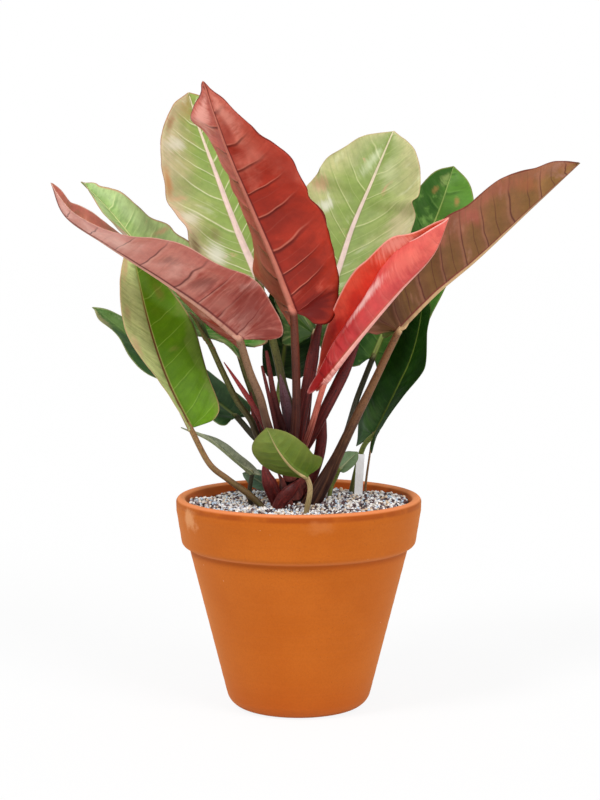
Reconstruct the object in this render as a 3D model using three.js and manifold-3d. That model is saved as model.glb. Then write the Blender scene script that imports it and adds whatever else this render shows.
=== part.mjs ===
// A philodendron with red, copper and green leaves in a terracotta pot, in millimetres, +Z up.
// The origin is the middle of the pot's foot, on the surface that the pot stands on.
import * as THREE from 'three';
import { mergeVertices } from 'three/addons/utils/BufferGeometryUtils.js';
import Module from 'manifold-3d';

const wasm = await Module();
wasm.setup();

// Driving dimensions of the pot
const potHeight = 286;
const rimRadius = 165;
const mouthRadius = 154;
const collarFoot = 217;
const collarFootRadius = 158;
const neckRadius = 147.5;
const footRadius = 92.7;
const footRounding = 24;
const lipRounding = 7;
const lipStand = 0.5;
const lipDepth = 18;
const collarEdge = 9;
const collarRise = 2;
const mouthEase = 3;
const mouthDepth = 14;
const floorThickness = 16;
const drainRadius = 8;
const drainDistance = 48;
const drainCount = 3;
const drainSides = 16;
const roundSteps = 48;

// What fills it
const clearance = 0.3;
const gritFoot = 256;
const gritLevel = 274;
const stemHole = 225;

// Leaves: blades are this thick, and the midrib stands out of the underside
const bladeThickness = 1.2;
const ribDepth = 3.4;
const ribFoot = 0.2;
const ribThinning = 0.85;
const ribWidth = 3.2;
const ribNarrowing = 0.7;
const veinSweep = 24;
const veinBow = 0.28;
const columns = [0, 0.06, 0.36, 0.7, 1];

const up = new THREE.Vector3(0, 0, 1);
const toRadians = THREE.MathUtils.degToRad;

function vectors(points) {
  return points.map((point) => new THREE.Vector3(...point));
}

// Closed solid from triangles, with doubled corners merged and empty triangles dropped
function solidFrom(geometry) {
  const bare = geometry.clone();
  bare.deleteAttribute('normal');
  bare.deleteAttribute('uv');
  const merged = mergeVertices(bare, 1e-4);
  const index = merged.index.array;
  const triangles = [];
  for (let k = 0; k < index.length; k += 3) {
    const [a, b, c] = [index[k], index[k + 1], index[k + 2]];
    if (a !== b && b !== c && c !== a) triangles.push(a, b, c);
  }
  const mesh = new wasm.Mesh({
    numProp: 3,
    vertProperties: new Float32Array(merged.attributes.position.array),
    triVerts: new Uint32Array(triangles),
  });
  return new wasm.Manifold(mesh);
}

function geometryFrom(solid) {
  const mesh = solid.getMesh();
  const geometry = new THREE.BufferGeometry();
  geometry.setAttribute('position', new THREE.BufferAttribute(mesh.vertProperties, 3));
  geometry.setIndex(new THREE.BufferAttribute(mesh.triVerts, 1));
  return geometry;
}

function geometryOf(points, triangles) {
  const geometry = new THREE.BufferGeometry();
  const numbers = points.flatMap((point) => [point.x, point.y, point.z]);
  geometry.setAttribute('position', new THREE.Float32BufferAttribute(numbers, 3));
  geometry.setIndex(triangles);
  return geometry;
}

// The largest body of a cut solid: scraps that a cut leaves are dropped
function largestBody(solid) {
  const bodies = solid.decompose();
  return bodies.reduce((best, body) => (body.volume() > best.volume() ? body : best));
}

function boxesMeet(a, b) {
  const [p, q] = [a.boundingBox(), b.boundingBox()];
  return [0, 1, 2].every((axis) => p.min[axis] <= q.max[axis] && q.min[axis] <= p.max[axis]);
}

// A ring of points round the curve at each step, closed at both ends.
// girth(t) is the radius at t, flat squashes the section, grow adds clearance all round.
function taperedTube(points, girth, { sides = 8, steps = 10, flat = 1, grow = 0 } = {}) {
  const curve = new THREE.CatmullRomCurve3(vectors(points), false, 'catmullrom', 0.5);
  const frames = curve.computeFrenetFrames(steps, false);
  const rings = [];
  const triangles = [];
  for (let step = 0; step <= steps; step += 1) {
    const t = step / steps;
    const centre = curve.getPointAt(t);
    const along = frames.tangents[step];
    const wide = new THREE.Vector3().crossVectors(along, up).normalize();
    const deep = new THREE.Vector3().crossVectors(wide, along).normalize();
    if (step === 0) centre.addScaledVector(along, -grow);
    if (step === steps) centre.addScaledVector(along, grow);
    for (let side = 0; side < sides; side += 1) {
      const angle = (2 * Math.PI * side) / sides;
      const radius = girth(t);
      const across = Math.cos(angle) * (radius * flat + grow);
      const through = Math.sin(angle) * (radius + grow);
      rings.push(centre.clone().addScaledVector(wide, across).addScaledVector(deep, through));
    }
  }
  for (let step = 0; step < steps; step += 1) {
    for (let side = 0; side < sides; side += 1) {
      const next = (side + 1) % sides;
      const [a, b] = [step * sides + side, step * sides + next];
      const [c, d] = [a + sides, b + sides];
      triangles.push(a, b, c, b, d, c);
    }
  }
  const last = steps * sides;
  for (let side = 1; side < sides - 1; side += 1) {
    triangles.push(0, side + 1, side);
    triangles.push(last, last + side, last + side + 1);
  }
  return outward(solidFrom(geometryOf(rings, triangles)), rings, triangles);
}

function outward(solid, points, triangles) {
  if (solid.volume() > 0) return solid;
  const turned = [];
  for (let k = 0; k < triangles.length; k += 3) {
    turned.push(triangles[k], triangles[k + 2], triangles[k + 1]);
  }
  return solidFrom(geometryOf(points, turned));
}

// A sheet of triangles given a thickness: over and under are the distances to its two faces,
// and grow widens it all round its margin
function thickSheet(points, triangles, over, under, grow) {
  const normals = points.map(() => new THREE.Vector3());
  const edgeUse = new Map();
  for (let k = 0; k < triangles.length; k += 3) {
    const corner = [triangles[k], triangles[k + 1], triangles[k + 2]];
    const [p, q, r] = corner.map((id) => points[id]);
    const face = new THREE.Vector3().crossVectors(q.clone().sub(p), r.clone().sub(p));
    corner.forEach((id) => normals[id].add(face));
    corner.forEach((id, n) => edgeUse.set(`${id} ${corner[(n + 1) % 3]}`, [id, corner[(n + 1) % 3]]));
  }
  normals.forEach((normal) => normal.normalize());
  const margin = [...edgeUse.values()].filter(([a, b]) => !edgeUse.has(`${b} ${a}`));
  const outwards = points.map(() => new THREE.Vector3());
  for (const [a, b] of margin) {
    const away = points[b].clone().sub(points[a]).cross(normals[a]).normalize();
    outwards[a].add(away);
    outwards[b].add(away);
  }
  const wide = points.map((point, id) => point.clone().addScaledVector(outwards[id], grow));
  const count = points.length;
  const upper = wide.map((point, id) => point.clone().addScaledVector(normals[id], over[id]));
  const lower = wide.map((point, id) => point.clone().addScaledVector(normals[id], -under[id]));
  const faces = [...triangles];
  for (let k = 0; k < triangles.length; k += 3) {
    faces.push(triangles[k] + count, triangles[k + 2] + count, triangles[k + 1] + count);
  }
  for (const [a, b] of margin) faces.push(b, a, a + count, b, a + count, b + count);
  return solidFrom(geometryOf([...upper, ...lower], faces));
}

// Half of a leaf's outline as [share of the half width, share of the length], from sinus to tip.
// A taper above 1 draws the tip out.
function halfOutline(widest, lobe, taper = 1) {
  const rest = 1 - widest;
  return [
    [0.03, 0],
    [0.26, -0.85 * lobe],
    [0.58, -lobe],
    [0.86, 0.22 * widest - 0.35 * lobe],
    [1, widest],
    [0.955 ** taper, widest + 0.25 * rest],
    [0.8 ** taper, widest + 0.5 * rest],
    [0.55 ** taper, widest + 0.71 * rest],
    [0.26 ** taper, widest + 0.87 * rest],
    [0, 1],
  ].map(([x, y]) => new THREE.Vector3(x, y, 0));
}

// A leaf blade. Its rib runs from the petiole to the tip, its upper side looks to face, and its
// halves rise by fold and curl inwards. Rows follow the side veins, which sweep towards the tip.
function leafBlade(leaf, grow = 0) {
  const rows = leaf.rows ?? 14;
  const rib = new THREE.CatmullRomCurve3(vectors(leaf.rib), false, 'catmullrom', 0.5);
  const length = rib.getLength();
  const faces = vectors(leaf.face);
  const outlinePoints = halfOutline(leaf.widest, leaf.lobe, leaf.taper);
  const edge = new THREE.CatmullRomCurve3(outlinePoints, false, 'catmullrom', 0.5);
  const meanHalf = (leaf.half[0] + leaf.half[1]) / 2;
  const slope = Math.tan(toRadians(veinSweep));

  function surfacePoint(side, rootY, edgeX, edgeY, v, s) {
    const y = rootY + (edgeY - rootY) * v * (1 - veinBow + veinBow * v);
    const held = THREE.MathUtils.clamp(y, 0, 1);
    const along = rib.getTangentAt(held);
    const normal = faces[0].clone().lerp(faces[1], held);
    normal.addScaledVector(along, -normal.dot(along)).normalize();
    const across = new THREE.Vector3().crossVectors(along, normal);
    const which = side < 0 ? 0 : 1;
    const half = leaf.half[which];
    const fold = toRadians(THREE.MathUtils.lerp(...leaf.fold[which], held));
    const curl = toRadians(THREE.MathUtils.lerp(...leaf.curl[which], held));
    const reach = edgeX * v;
    const out = (half / curl) * (Math.sin(fold + curl * reach) - Math.sin(fold));
    const [height, count, phase] = leaf.wave;
    const wave = height * v * v * Math.sqrt(edgeX) * Math.sin(2 * Math.PI * count * s + phase + side);
    const rise = (-half / curl) * (Math.cos(fold + curl * reach) - Math.cos(fold)) + wave;
    const point = rib.getPointAt(held).addScaledVector(along, (y - held) * length);
    return point.addScaledVector(across, side * out).addScaledVector(normal, rise);
  }

  const points = [];
  const over = [];
  const under = [];
  const half = bladeThickness / 2;
  function add(point, ribShare, y) {
    points.push(point);
    over.push(half + grow);
    under.push(half + grow + ribShare * (ribDepth * (1 - ribThinning * y) + ribFoot));
    return points.length - 1;
  }
  const roots = [];
  const outline = [];
  const lobeStart = 1 / (outlinePoints.length - 1);
  for (let row = 0; row < rows; row += 1) {
    const s = THREE.MathUtils.lerp(lobeStart, 1, row / (rows - 1));
    const at = edge.getPoint(s);
    const rootY = Math.max(0, at.y - (at.x * meanHalf * slope) / length);
    outline.push({ s, x: at.x, y: at.y, rootY });
    const last = roots.length - 1;
    if (last >= 0 && rootY === outline[last].rootY) roots.push(roots[last]);
    else roots.push(add(surfacePoint(1, rootY, 0.001, at.y, 0, s), 1, rootY));
  }
  const grid = {};
  for (const side of [-1, 1]) {
    grid[side] = outline.map(({ s, x, y, rootY }, row) => columns.map((v, column) => {
      if (column === 0 || row === rows - 1) return roots[row];
      const reach = Math.max(x * meanHalf, 0.01);
      const ribShare = Math.min(0.25, (ribWidth * (1 - ribNarrowing * rootY)) / reach);
      const share = column === 1 ? ribShare : v;
      return add(surfacePoint(side, rootY, x, y, share, s), 0, rootY);
    }));
  }
  const triangles = [];
  for (const side of [-1, 1]) {
    for (let row = 0; row < rows - 1; row += 1) {
      for (let column = 0; column < columns.length - 1; column += 1) {
        const [a, b] = [grid[side][row][column], grid[side][row][column + 1]];
        const [c, d] = [grid[side][row + 1][column], grid[side][row + 1][column + 1]];
        for (const [p, q, r] of [[a, b, d], [a, d, c]]) {
          if (p === q || q === r || r === p) continue;
          triangles.push(...(side > 0 ? [p, q, r] : [p, r, q]));
        }
      }
    }
  }
  return thickSheet(points, triangles, over, under, grow);
}

// The petiole ends in the sinus of its blade, at the foot of the rib. A swell is the sheath at
// its foot, which runs out at swellEnd of its length.
const petioleTaper = 1.4;
const swellEnd = 0.3;

function petioleOf(leaf, grow = 0) {
  const [base, top] = leaf.girth;
  const swell = leaf.swell ?? 0;
  const girth = (t) => {
    const sheath = swell * Math.max(0, 1 - t / swellEnd);
    return top + (base - top) * (1 - t) ** petioleTaper + sheath;
  };
  const steps = leaf.petioleSteps ?? 8;
  return taperedTube([...leaf.petiole, leaf.rib[0]], girth, { sides: 7, steps, grow });
}

const leaves = [
  {
    name: 'tall_red', colour: 0x98382c, petioleColour: 0x8a4a40, girth: [6.5, 5.2],
    rib: [[-7, -78, 537], [-32, -102, 604], [-59, -130, 671], [-89, -164, 746], [-117, -190, 829]],
    face: [[0.47, 0.75, 0.46], [0.71, 0.53, 0.47]],
    half: [82, 93], fold: [[52, 2], [36, 2]], curl: [[2, 1], [15, 49]],
    widest: 0.42, lobe: 0.09, wave: [3.5, 3, 3], taper: 0.83,
    petiole: [[-10, -16, 318], [-6, -30, 364], [-3, -44, 424], [-5, -66, 501]],
  },
  {
    name: 'left_copper', colour: 0xa8685f, petioleColour: 0x7d5236, girth: [6.5, 5],
    rib: [[-77, -76, 503], [-124, -102, 545], [-175, -134, 584], [-241, -170, 630], [-287, -190, 664],
      [-304, -195, 705]],
    face: [[0.08, 0.81, 0.57], [0.69, -0.09, 0.72]],
    half: [89, 82], fold: [[5, 20], [42, 26]], curl: [[1, 1], [5, 8]],
    widest: 0.29, lobe: 0.09, wave: [5.1, 4, 0.1], taper: 0.6,
    petiole: [[-19, -15, 322], [-41, -36, 385], [-51, -46, 424], [-64, -57, 458]],
  },
  {
    name: 'back_left_pale', colour: 0xa9b583, petioleColour: 0x6d6a48, girth: [6.5, 5],
    rib: [[-55, 44, 577], [-83, 72, 638], [-113, 106, 714], [-140, 136, 784], [-154, 152, 830]],
    face: [[-0.08, -0.93, 0.37], [0.08, -0.91, 0.42]],
    half: [82, 82], fold: [[9, 30], [12, 23]], curl: [[16, 13], [5, 5]],
    widest: 0.55, lobe: 0.08, wave: [2.3, 4, 0.1], taper: 0.88,
    petiole: [[-11, 11, 340], [-12, 22, 399], [-21, 28, 433], [-32, 35, 480], [-42, 40, 520]],
  },
  {
    name: 'back_right_pale', colour: 0xabc080, petioleColour: 0x5b2a22, girth: [6.5, 5],
    rib: [[22, 64, 498], [55, 96, 586], [75, 118, 644], [103, 142, 708], [133, 162, 777]],
    face: [[-0.05, -0.94, 0.35], [-0.29, -0.86, 0.42]],
    half: [85, 94], fold: [[11, -5], [8, 13]], curl: [[8, 1], [6, 28]],
    widest: 0.57, lobe: 0.08, wave: [2.8, 4, -1], taper: 0.6,
    petiole: [[1, 8, 326], [8, 28, 371], [15, 48, 437]],
  },
  {
    name: 'far_right_green', colour: 0x558a40, petioleColour: 0x3c3a26, girth: [5, 4],
    rib: [[103, 112, 462], [131, 134, 525], [162, 158, 588], [196, 180, 659], [220, 196, 728]],
    face: [[0.16, -0.96, 0.23], [0.18, -0.96, 0.22]],
    half: [53, 57], fold: [[12, 21], [13, 21]], curl: [[8, 9], [8, 8]],
    widest: 0.62, lobe: 0.07, wave: [2.5, 3, 1.5], taper: 0.6,
    petiole: [[2, 9, 284], [36, 36, 304], [63, 68, 355], [81, 98, 407]],
  },
  {
    name: 'new_red', colour: 0xd8402e, petioleColour: 0xd0705c, girth: [4.8, 3.8],
    rib: [[34, -70, 446], [84, -96, 513], [129, -120, 569], [169, -141, 615], [188, -154, 662]],
    face: [[-0.7, 0.34, 0.63], [-0.77, -0.52, 0.36]],
    half: [65, 57], fold: [[1, 66], [73, 55]], curl: [[108, 26], [170, 147]],
    widest: 0.46, lobe: 0.09, wave: [3, 3, 1.7], taper: 0.75,
    petiole: [[1, -10, 336], [15, -40, 379]],
  },
  {
    name: 'right_brown', colour: 0x8a5a3e, petioleColour: 0x7a4a3a, girth: [9, 4.6], swell: 5,
    rib: [[131, -54, 512], [178, -69, 562], [230, -86, 608], [295, -108, 672], [355, -124, 730]],
    face: [[-0.53, 0.47, 0.7], [-0.66, 0.18, 0.73]],
    half: [76, 77], fold: [[42, 42], [36, 41]], curl: [[5, 5], [5, 2]],
    widest: 0.45, lobe: 0.08, wave: [3.2, 4, 2.2], taper: 0.63,
    petiole: [[14, -12, 272], [42, -20, 323], [71, -36, 386], [94, -46, 434]],
  },
  {
    name: 'right_dark', colour: 0x22401c, petioleColour: 0x5c6a34, girth: [4.5, 3.6],
    rib: [[103, 56, 361], [133, 64, 421], [154, 72, 465], [167, 80, 514], [172, 88, 565]],
    face: [[-0.87, -0.35, 0.35], [-0.84, -0.42, 0.35]],
    half: [49, 50], fold: [[4, 20], [13, -1]], curl: [[4, 5], [1, 1]],
    widest: 0.38, lobe: 0.1, wave: [6, 3, 0.4], taper: 1.24,
    petiole: [[66, 46, 232], [72, 50, 280], [87, 54, 341]],
  },
  {
    name: 'left_green', colour: 0x5f8f2e, petioleColour: 0x8a7a48, girth: [5, 3.8],
    rib: [[-143, -45, 383], [-169, -39, 435], [-189, -31, 488], [-205, -19, 544], [-218, -4, 600],
      [-227, 7, 631]],
    face: [[0.54, -0.75, 0.37], [0.5, -0.79, 0.36]],
    half: [46, 60], fold: [[48, 4], [16, 4]], curl: [[6, 1], [9, 9]],
    widest: 0.32, lobe: 0.01, wave: [5.1, 3, 2.3], taper: 0.96,
    petiole: [[-22, -34, 236], [-45, -38, 272], [-67, -39, 294], [-94, -40, 314], [-119, -42, 336]],
  },
  {
    name: 'left_upper_green', colour: 0x7fb055, petioleColour: 0x77704a, girth: [5, 4],
    rib: [[-85, 40, 486], [-135, 60, 531], [-193, 84, 586], [-258, 110, 662], [-302, 128, 706]],
    face: [[0.48, -0.54, 0.69], [0.47, -0.55, 0.69]],
    half: [63, 62], fold: [[20, 31], [20, 23]], curl: [[4, 21], [5, 2]],
    widest: 0.34, lobe: 0.07, wave: [5.2, 4, 3.2], taper: 0.93,
    petiole: [[-18, 9, 334], [-50, 32, 371], [-58, 35, 405], [-72, 38, 445]],
  },
  {
    name: 'left_edge_on', colour: 0x4a5a26, petioleColour: 0x66733a, girth: [5, 3.8],
    rib: [[-119, -22, 495], [-127, -20, 508], [-136, -18, 522], [-145, -16, 535]],
    face: [[0.6, 0, 0.75], [0.6, -0.1, 0.75]],
    half: [14, 14], fold: [[15, 10], [11, 10]], curl: [[5, 5], [5, 5]],
    widest: 0.4, lobe: 0.26, wave: [1.2, 2, 0], rows: 8,
    petiole: [[-21, -3, 332], [-52, -12, 363], [-64, -14, 390], [-82, -17, 416], [-101, -20, 455]],
  },
  {
    name: 'left_low_dark', colour: 0x2f5a34, petioleColour: 0x4c3a2a, girth: [5, 4],
    rib: [[-84, 22, 390], [-133, 48, 424], [-185, 76, 457], [-234, 102, 492], [-288, 124, 532]],
    face: [[0.43, -0.32, 0.84], [0.43, -0.31, 0.85]],
    half: [57, 50], fold: [[-4, 13], [3, 29]], curl: [[1, 1], [1, 4]],
    widest: 0.35, lobe: 0.01, wave: [5.3, 3, 1.5], taper: 0.94,
    petiole: [[-21, 3, 320], [-48, 10, 352], [-64, 14, 368]],
  },
  {
    name: 'front_small', colour: 0x6e8a3a, petioleColour: 0xa08a5c, girth: [4.2, 3.4],
    rib: [[10, -80, 323], [-9, -88, 338], [-27, -94, 362], [-41, -98, 390]],
    face: [[0.28, 0.85, 0.44], [0.28, 0.85, 0.44]],
    half: [38, 48], fold: [[7, -5], [35, -5]], curl: [[1, 1], [3, 4]],
    widest: 0.43, lobe: 0.02, wave: [1.3, 2, -0.5], taper: 0.74, rows: 9,
    petiole: [[4, -60, 236], [10, -70, 275], [15, -76, 306]],
  },
  {
    name: 'low_left_narrow', colour: 0x4a5c34, petioleColour: 0x5a4a34, girth: [4, 3],
    rib: [[-63, 5, 316], [-85, 20, 331], [-121, 38, 356], [-161, 52, 372]],
    face: [[0.1, 0.15, 1], [0.1, 0.15, 1]],
    half: [20, 20], fold: [[15, 10], [15, 10]], curl: [[5, 5], [5, 5]],
    widest: 0.38, lobe: 0.06, wave: [1, 2, 0], rows: 8,
    petiole: [[-60, 2, 240], [-66, 2, 289]], petioleSteps: 6,
  },
  {
    name: 'low_back_left', colour: 0x5c8266, petioleColour: 0x6a7a52, girth: [3.6, 3],
    rib: [[-40, 60, 289], [-52, 66, 294], [-64, 72, 300], [-78, 78, 305]],
    face: [[0.14, -0.75, 0.65], [0.14, -0.75, 0.65]],
    half: [15, 15], fold: [[13, 8], [13, 8]], curl: [[5, 5], [5, 5]],
    widest: 0.4, lobe: 0.06, wave: [1, 2, 0], rows: 8,
    petiole: [[-28, 46, 240], [-31, 52, 268]], petioleSteps: 5,
  },
  {
    name: 'low_right', colour: 0x5a6e50, petioleColour: 0x6a7040, girth: [3.6, 2.8],
    rib: [[55, 10, 320], [66, 17, 330], [80, 24, 342]],
    face: [[0, -0.66, 0.75], [0, -0.66, 0.75]],
    half: [14, 14], fold: [[13, 8], [13, 8]], curl: [[5, 5], [5, 5]],
    widest: 0.4, lobe: 0.06, wave: [0.6, 2, 0], rows: 7,
    petiole: [[36, 14, 240], [43, 14, 291], [50, 13, 308]], petioleSteps: 6,
  },
  {
    name: 'back_centre_dark', colour: 0x1f4a1a, petioleColour: 0x4f6a2e, girth: [4.6, 3.4],
    rib: [[-25, 104, 438], [-18, 124, 489], [-11, 148, 541], [-7, 170, 590]],
    face: [[0, -0.95, 0.3], [0, -0.95, 0.3]],
    half: [34, 46], fold: [[12, 10], [12, 10]], curl: [[5, 5], [5, 5]],
    widest: 0.55, lobe: 0.02, wave: [2, 3, 1], rows: 9,
    petiole: [[-11, 11, 316], [-24, 48, 348], [-30, 82, 390]],
  },
];

// Pointed sheaths and old leaf bases round the stem, each from its foot to its tip
const sheaths = [
  { name: 'tall', colour: 0x4f1c1c, girth: 8.5, path: [[-4, -6, 348], [4, -12, 395], [12, -16, 437],
    [23, -18, 498], [33, -18, 539]] },
  { name: 'right', colour: 0x54201e, girth: 8, path: [[1, -3, 344], [14, -8, 363], [39, -20, 412],
    [65, -26, 466], [86, -30, 517]] },
  { name: 'upright', colour: 0x4a1a1e, girth: 7.5, path: [[9, 1, 286], [27, 5, 338], [32, 5, 380],
    [33, 5, 412]] },
  { name: 'twin_high', colour: 0x7a3a2c, girth: 6, tip: 2, shoulder: 1.1, path: [[-14, -4, 342],
    [-21, -7, 376], [-32, -13, 417], [-43, -17, 483]] },
  { name: 'twin_low', colour: 0x5c1f22, girth: 4.5, tip: 1.5, shoulder: 1.1, path: [[-24, -12, 346],
    [-29, -16, 376], [-38, -23, 417], [-49, -29, 464]] },
  { name: 'mauve', colour: 0x7a5a66, girth: 7, path: [[-11, 3, 349], [-12, 2, 367], [-16, 2, 402],
    [-25, 3, 450]] },
  { name: 'thin_red', colour: 0x9a4038, girth: 3.6, path: [[-27, -14, 342], [-46, -24, 383],
    [-62, -26, 413], [-99, -30, 469]] },
  { name: 'left', colour: 0x5c2a26, girth: 5, path: [[-29, 12, 326], [-46, 20, 350], [-57, 22, 377],
    [-65, 24, 424]] },
  { name: 'low_left', colour: 0x5a2024, girth: 10.5, path: [[-20, -16, 262], [-32, -24, 290],
    [-42, -30, 315], [-47, -32, 334]] },
  { name: 'low_middle', colour: 0x5a1a20, girth: 9, path: [[-32, -36, 262], [-24, -42, 284],
    [-10, -46, 300], [4, -48, 316]] },
];
const sheathFlat = 0.66;
const sheathTip = 0.5;
const sheathShoulder = 2.8;
const sheathFullness = 0.75;

function sheathSolid(sheath, grow = 0) {
  const shoulder = sheath.shoulder ?? sheathShoulder;
  const girth = (t) => {
    const share = Math.min(1, shoulder * (1 - t)) ** sheathFullness;
    return THREE.MathUtils.lerp(sheath.tip ?? sheathTip, sheath.girth, share);
  };
  return taperedTube(sheath.path, girth, { sides: 6, steps: 7, flat: sheathFlat, grow });
}

// The short thick stem, with a ring where each old leaf stood
const stemPath = [[-6, -4, stemHole], [-8, -4, 270], [-8, -2, 310], [-7, 0, 346]];
const stemGirth = 15;
const stemTaper = 0.35;
const stemRings = 5;
const ringHeight = 0.8;

function stemSolid(grow = 0) {
  const girth = (t) => {
    const ring = ringHeight * Math.cos(2 * Math.PI * stemRings * t);
    return stemGirth * (1 - stemTaper * t * t) + ring;
  };
  return taperedTube(stemPath, girth, { sides: 12, steps: 3 * stemRings, grow });
}

// A dry stalk and the plant label, both pushed into the grit
const stalkPath = [[90, 60, 240], [92, 60, 290], [97, 58, 330], [102, 56, 365]];
const stalkGirth = 2;
const stalkTaper = 0.4;

function stalkSolid(grow = 0) {
  const girth = (t) => stalkGirth * (1 - stalkTaper * t);
  return taperedTube(stalkPath, girth, { sides: 6, steps: 7, grow });
}

const label = { width: 11, thickness: 1.2, length: 100, point: 12, top: [84, 30, 338], lean: 3 };

function labelSolid(grow = 0) {
  const half = label.width / 2;
  const shape = new THREE.Shape();
  shape.moveTo(-half, 0);
  shape.lineTo(-half, label.point - label.length);
  shape.lineTo(0, -label.length);
  shape.lineTo(half, label.point - label.length);
  shape.lineTo(half, 0);
  const depth = label.thickness + 2 * grow;
  const geometry = new THREE.ExtrudeGeometry(shape, { depth, bevelEnabled: false });
  geometry.translate(0, 0, -depth / 2);
  geometry.scale(1 + (2 * grow) / label.width, 1 + (2 * grow) / label.length, 1);
  geometry.rotateX(Math.PI / 2);
  geometry.rotateY(toRadians(label.lean));
  geometry.translate(...label.top);
  return solidFrom(geometry);
}

// A solid turned about the Z axis from [radius, height] points
function turned(points) {
  const profile = points.map(([radius, height]) => new THREE.Vector2(radius, height));
  const geometry = new THREE.LatheGeometry(profile, roundSteps);
  geometry.rotateX(Math.PI / 2);
  const solid = solidFrom(geometry);
  if (solid.volume() > 0) return solid;
  const back = new THREE.LatheGeometry([...profile].reverse(), roundSteps);
  back.rotateX(Math.PI / 2);
  return solidFrom(back);
}

// Points on an arc from one angle to another, in degrees
function arc(centre, radius, from, to, steps) {
  return Array.from({ length: steps + 1 }, (_, step) => {
    const angle = toRadians(from + ((to - from) * step) / steps);
    return [centre[0] + radius * Math.cos(angle), centre[1] + radius * Math.sin(angle)];
  });
}

// The wall leans out from a virtual foot, where the rounding meets the base flat
const wallSlope = Math.atan2(collarFoot, neckRadius - footRadius);
const footInset = footRounding / Math.tan((Math.PI - wallSlope) / 2);

// Radius of the inner wall at a height. The floor's corner is filled by a slant.
const innerFootRadius = 87.7;
const innerTopRadius = 150;
const floorSlant = [8, 10];

function innerRadius(height) {
  const share = (height - floorThickness) / (potHeight - floorThickness);
  return THREE.MathUtils.lerp(innerFootRadius, innerTopRadius, share);
}

function potSolid() {
  const footCentre = [footRadius - footInset, footRounding];
  const footEnd = THREE.MathUtils.radToDeg(wallSlope) - 90;
  const collarCentre = [collarFootRadius - collarEdge, collarFoot + collarEdge + collarRise];
  const profile = [
    [0, 0],
    ...arc(footCentre, footRounding, -90, footEnd, 4),
    [neckRadius, collarFoot],
    ...arc(collarCentre, collarEdge, -70, -5, 2),
    [rimRadius - lipStand, potHeight - lipDepth],
    ...arc([rimRadius - lipRounding, potHeight - lipRounding], lipRounding, -8, 90, 4),
    [mouthRadius - 1, potHeight - mouthEase],
    [innerRadius(potHeight - mouthDepth), potHeight - mouthDepth],
    [innerRadius(gritFoot), gritFoot],
    [innerRadius(floorThickness + floorSlant[1]), floorThickness + floorSlant[1]],
    [innerRadius(floorThickness) - floorSlant[0], floorThickness],
    [0, floorThickness],
  ];
  let pot = turned(profile);
  for (let hole = 0; hole < drainCount; hole += 1) {
    const angle = (2 * Math.PI * hole) / drainCount + Math.PI / 2;
    const drill = new THREE.CylinderGeometry(drainRadius, drainRadius, 3 * floorThickness, drainSides);
    drill.rotateX(Math.PI / 2);
    drill.translate(drainDistance * Math.cos(angle), drainDistance * Math.sin(angle), 0);
    pot = pot.subtract(solidFrom(drill));
  }
  return pot;
}

function mixSolid() {
  const gap = clearance;
  return turned([
    [0, floorThickness + gap],
    [innerRadius(floorThickness) - floorSlant[0] - gap, floorThickness + gap],
    [innerRadius(floorThickness + floorSlant[1]) - gap, floorThickness + floorSlant[1]],
    [innerRadius(gritFoot) - gap, gritFoot - gap],
    [0, gritFoot - gap],
  ]);
}

// The grit lies in a low uneven mound and is heaped against the wall on both sides, with coarse
// grain as relief
function gritHeight(x, y) {
  const heapRight = 9 * Math.exp(-((x - 140) ** 2 + (y - 20) ** 2) / 3500);
  const heapLeft = 6 * Math.exp(-((x + 140) ** 2 + y ** 2) / 3500);
  const middle = 6 * Math.exp(-((x - 60) ** 2 + (y - 30) ** 2) / 5000) - 4 * (x / 150) ** 2;
  const mound = middle + heapRight + heapLeft;
  const roll = 2.2 * Math.sin(x / 23 + 1) * Math.cos(y / 19) + 1.6 * Math.sin((x + y) / 31);
  const grain = 1.5 * Math.sin(x * 0.83 + Math.sin(y * 0.61)) * Math.cos(y * 0.74 - x * 0.21);
  return gritLevel + mound + roll + grain;
}

function gritSolid() {
  const rings = 8;
  const edge = innerRadius(gritFoot + 9) - clearance;
  const top = [];
  for (let ring = 0; ring <= rings; ring += 1) {
    top.push([(edge * (rings - ring)) / rings, gritLevel]);
  }
  const points = [[0, gritFoot], [innerRadius(gritFoot) - clearance, gritFoot], ...top];
  const profile = points.map(([radius, height]) => new THREE.Vector2(radius, height));
  const geometry = new THREE.LatheGeometry(profile, roundSteps);
  geometry.rotateX(Math.PI / 2);
  const place = geometry.attributes.position;
  for (let k = 0; k < place.count; k += 1) {
    if (place.getZ(k) < gritLevel - 1) continue;
    place.setZ(k, gritHeight(place.getX(k), place.getY(k)));
  }
  return solidFrom(geometry);
}

// Everything that stands in the pot is cut clear of what was placed before it
const placed = [];

function place(name, colour, finish, solid, fat) {
  let cut = solid;
  for (const other of placed) {
    if (boxesMeet(cut, other.fat)) cut = cut.subtract(other.fat);
  }
  cut = largestBody(cut);
  placed.push({ name, colour, finish, solid: cut, fat });
}

const leafFinish = { roughness: 0.42, metalness: 0 };
const woodFinish = { roughness: 0.7, metalness: 0 };

place('stem', 0x5a4632, woodFinish, stemSolid(), stemSolid(clearance));
for (const leaf of leaves) {
  const fat = petioleOf(leaf, clearance);
  place(`leaf_${leaf.name}_petiole`, leaf.petioleColour, leafFinish, petioleOf(leaf), fat);
}
for (const sheath of sheaths) {
  const fat = sheathSolid(sheath, clearance);
  place(`sheath_${sheath.name}`, sheath.colour, leafFinish, sheathSolid(sheath), fat);
}
place('dry_stalk', 0x8a6a4a, woodFinish, stalkSolid(), stalkSolid(clearance));
place('plant_label', 0xe8e8ec, { roughness: 0.35, metalness: 0 }, labelSolid(), labelSolid(clearance));
for (const leaf of leaves) {
  place(`leaf_${leaf.name}_blade`, leaf.colour, leafFinish, leafBlade(leaf), leafBlade(leaf, clearance));
}

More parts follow.
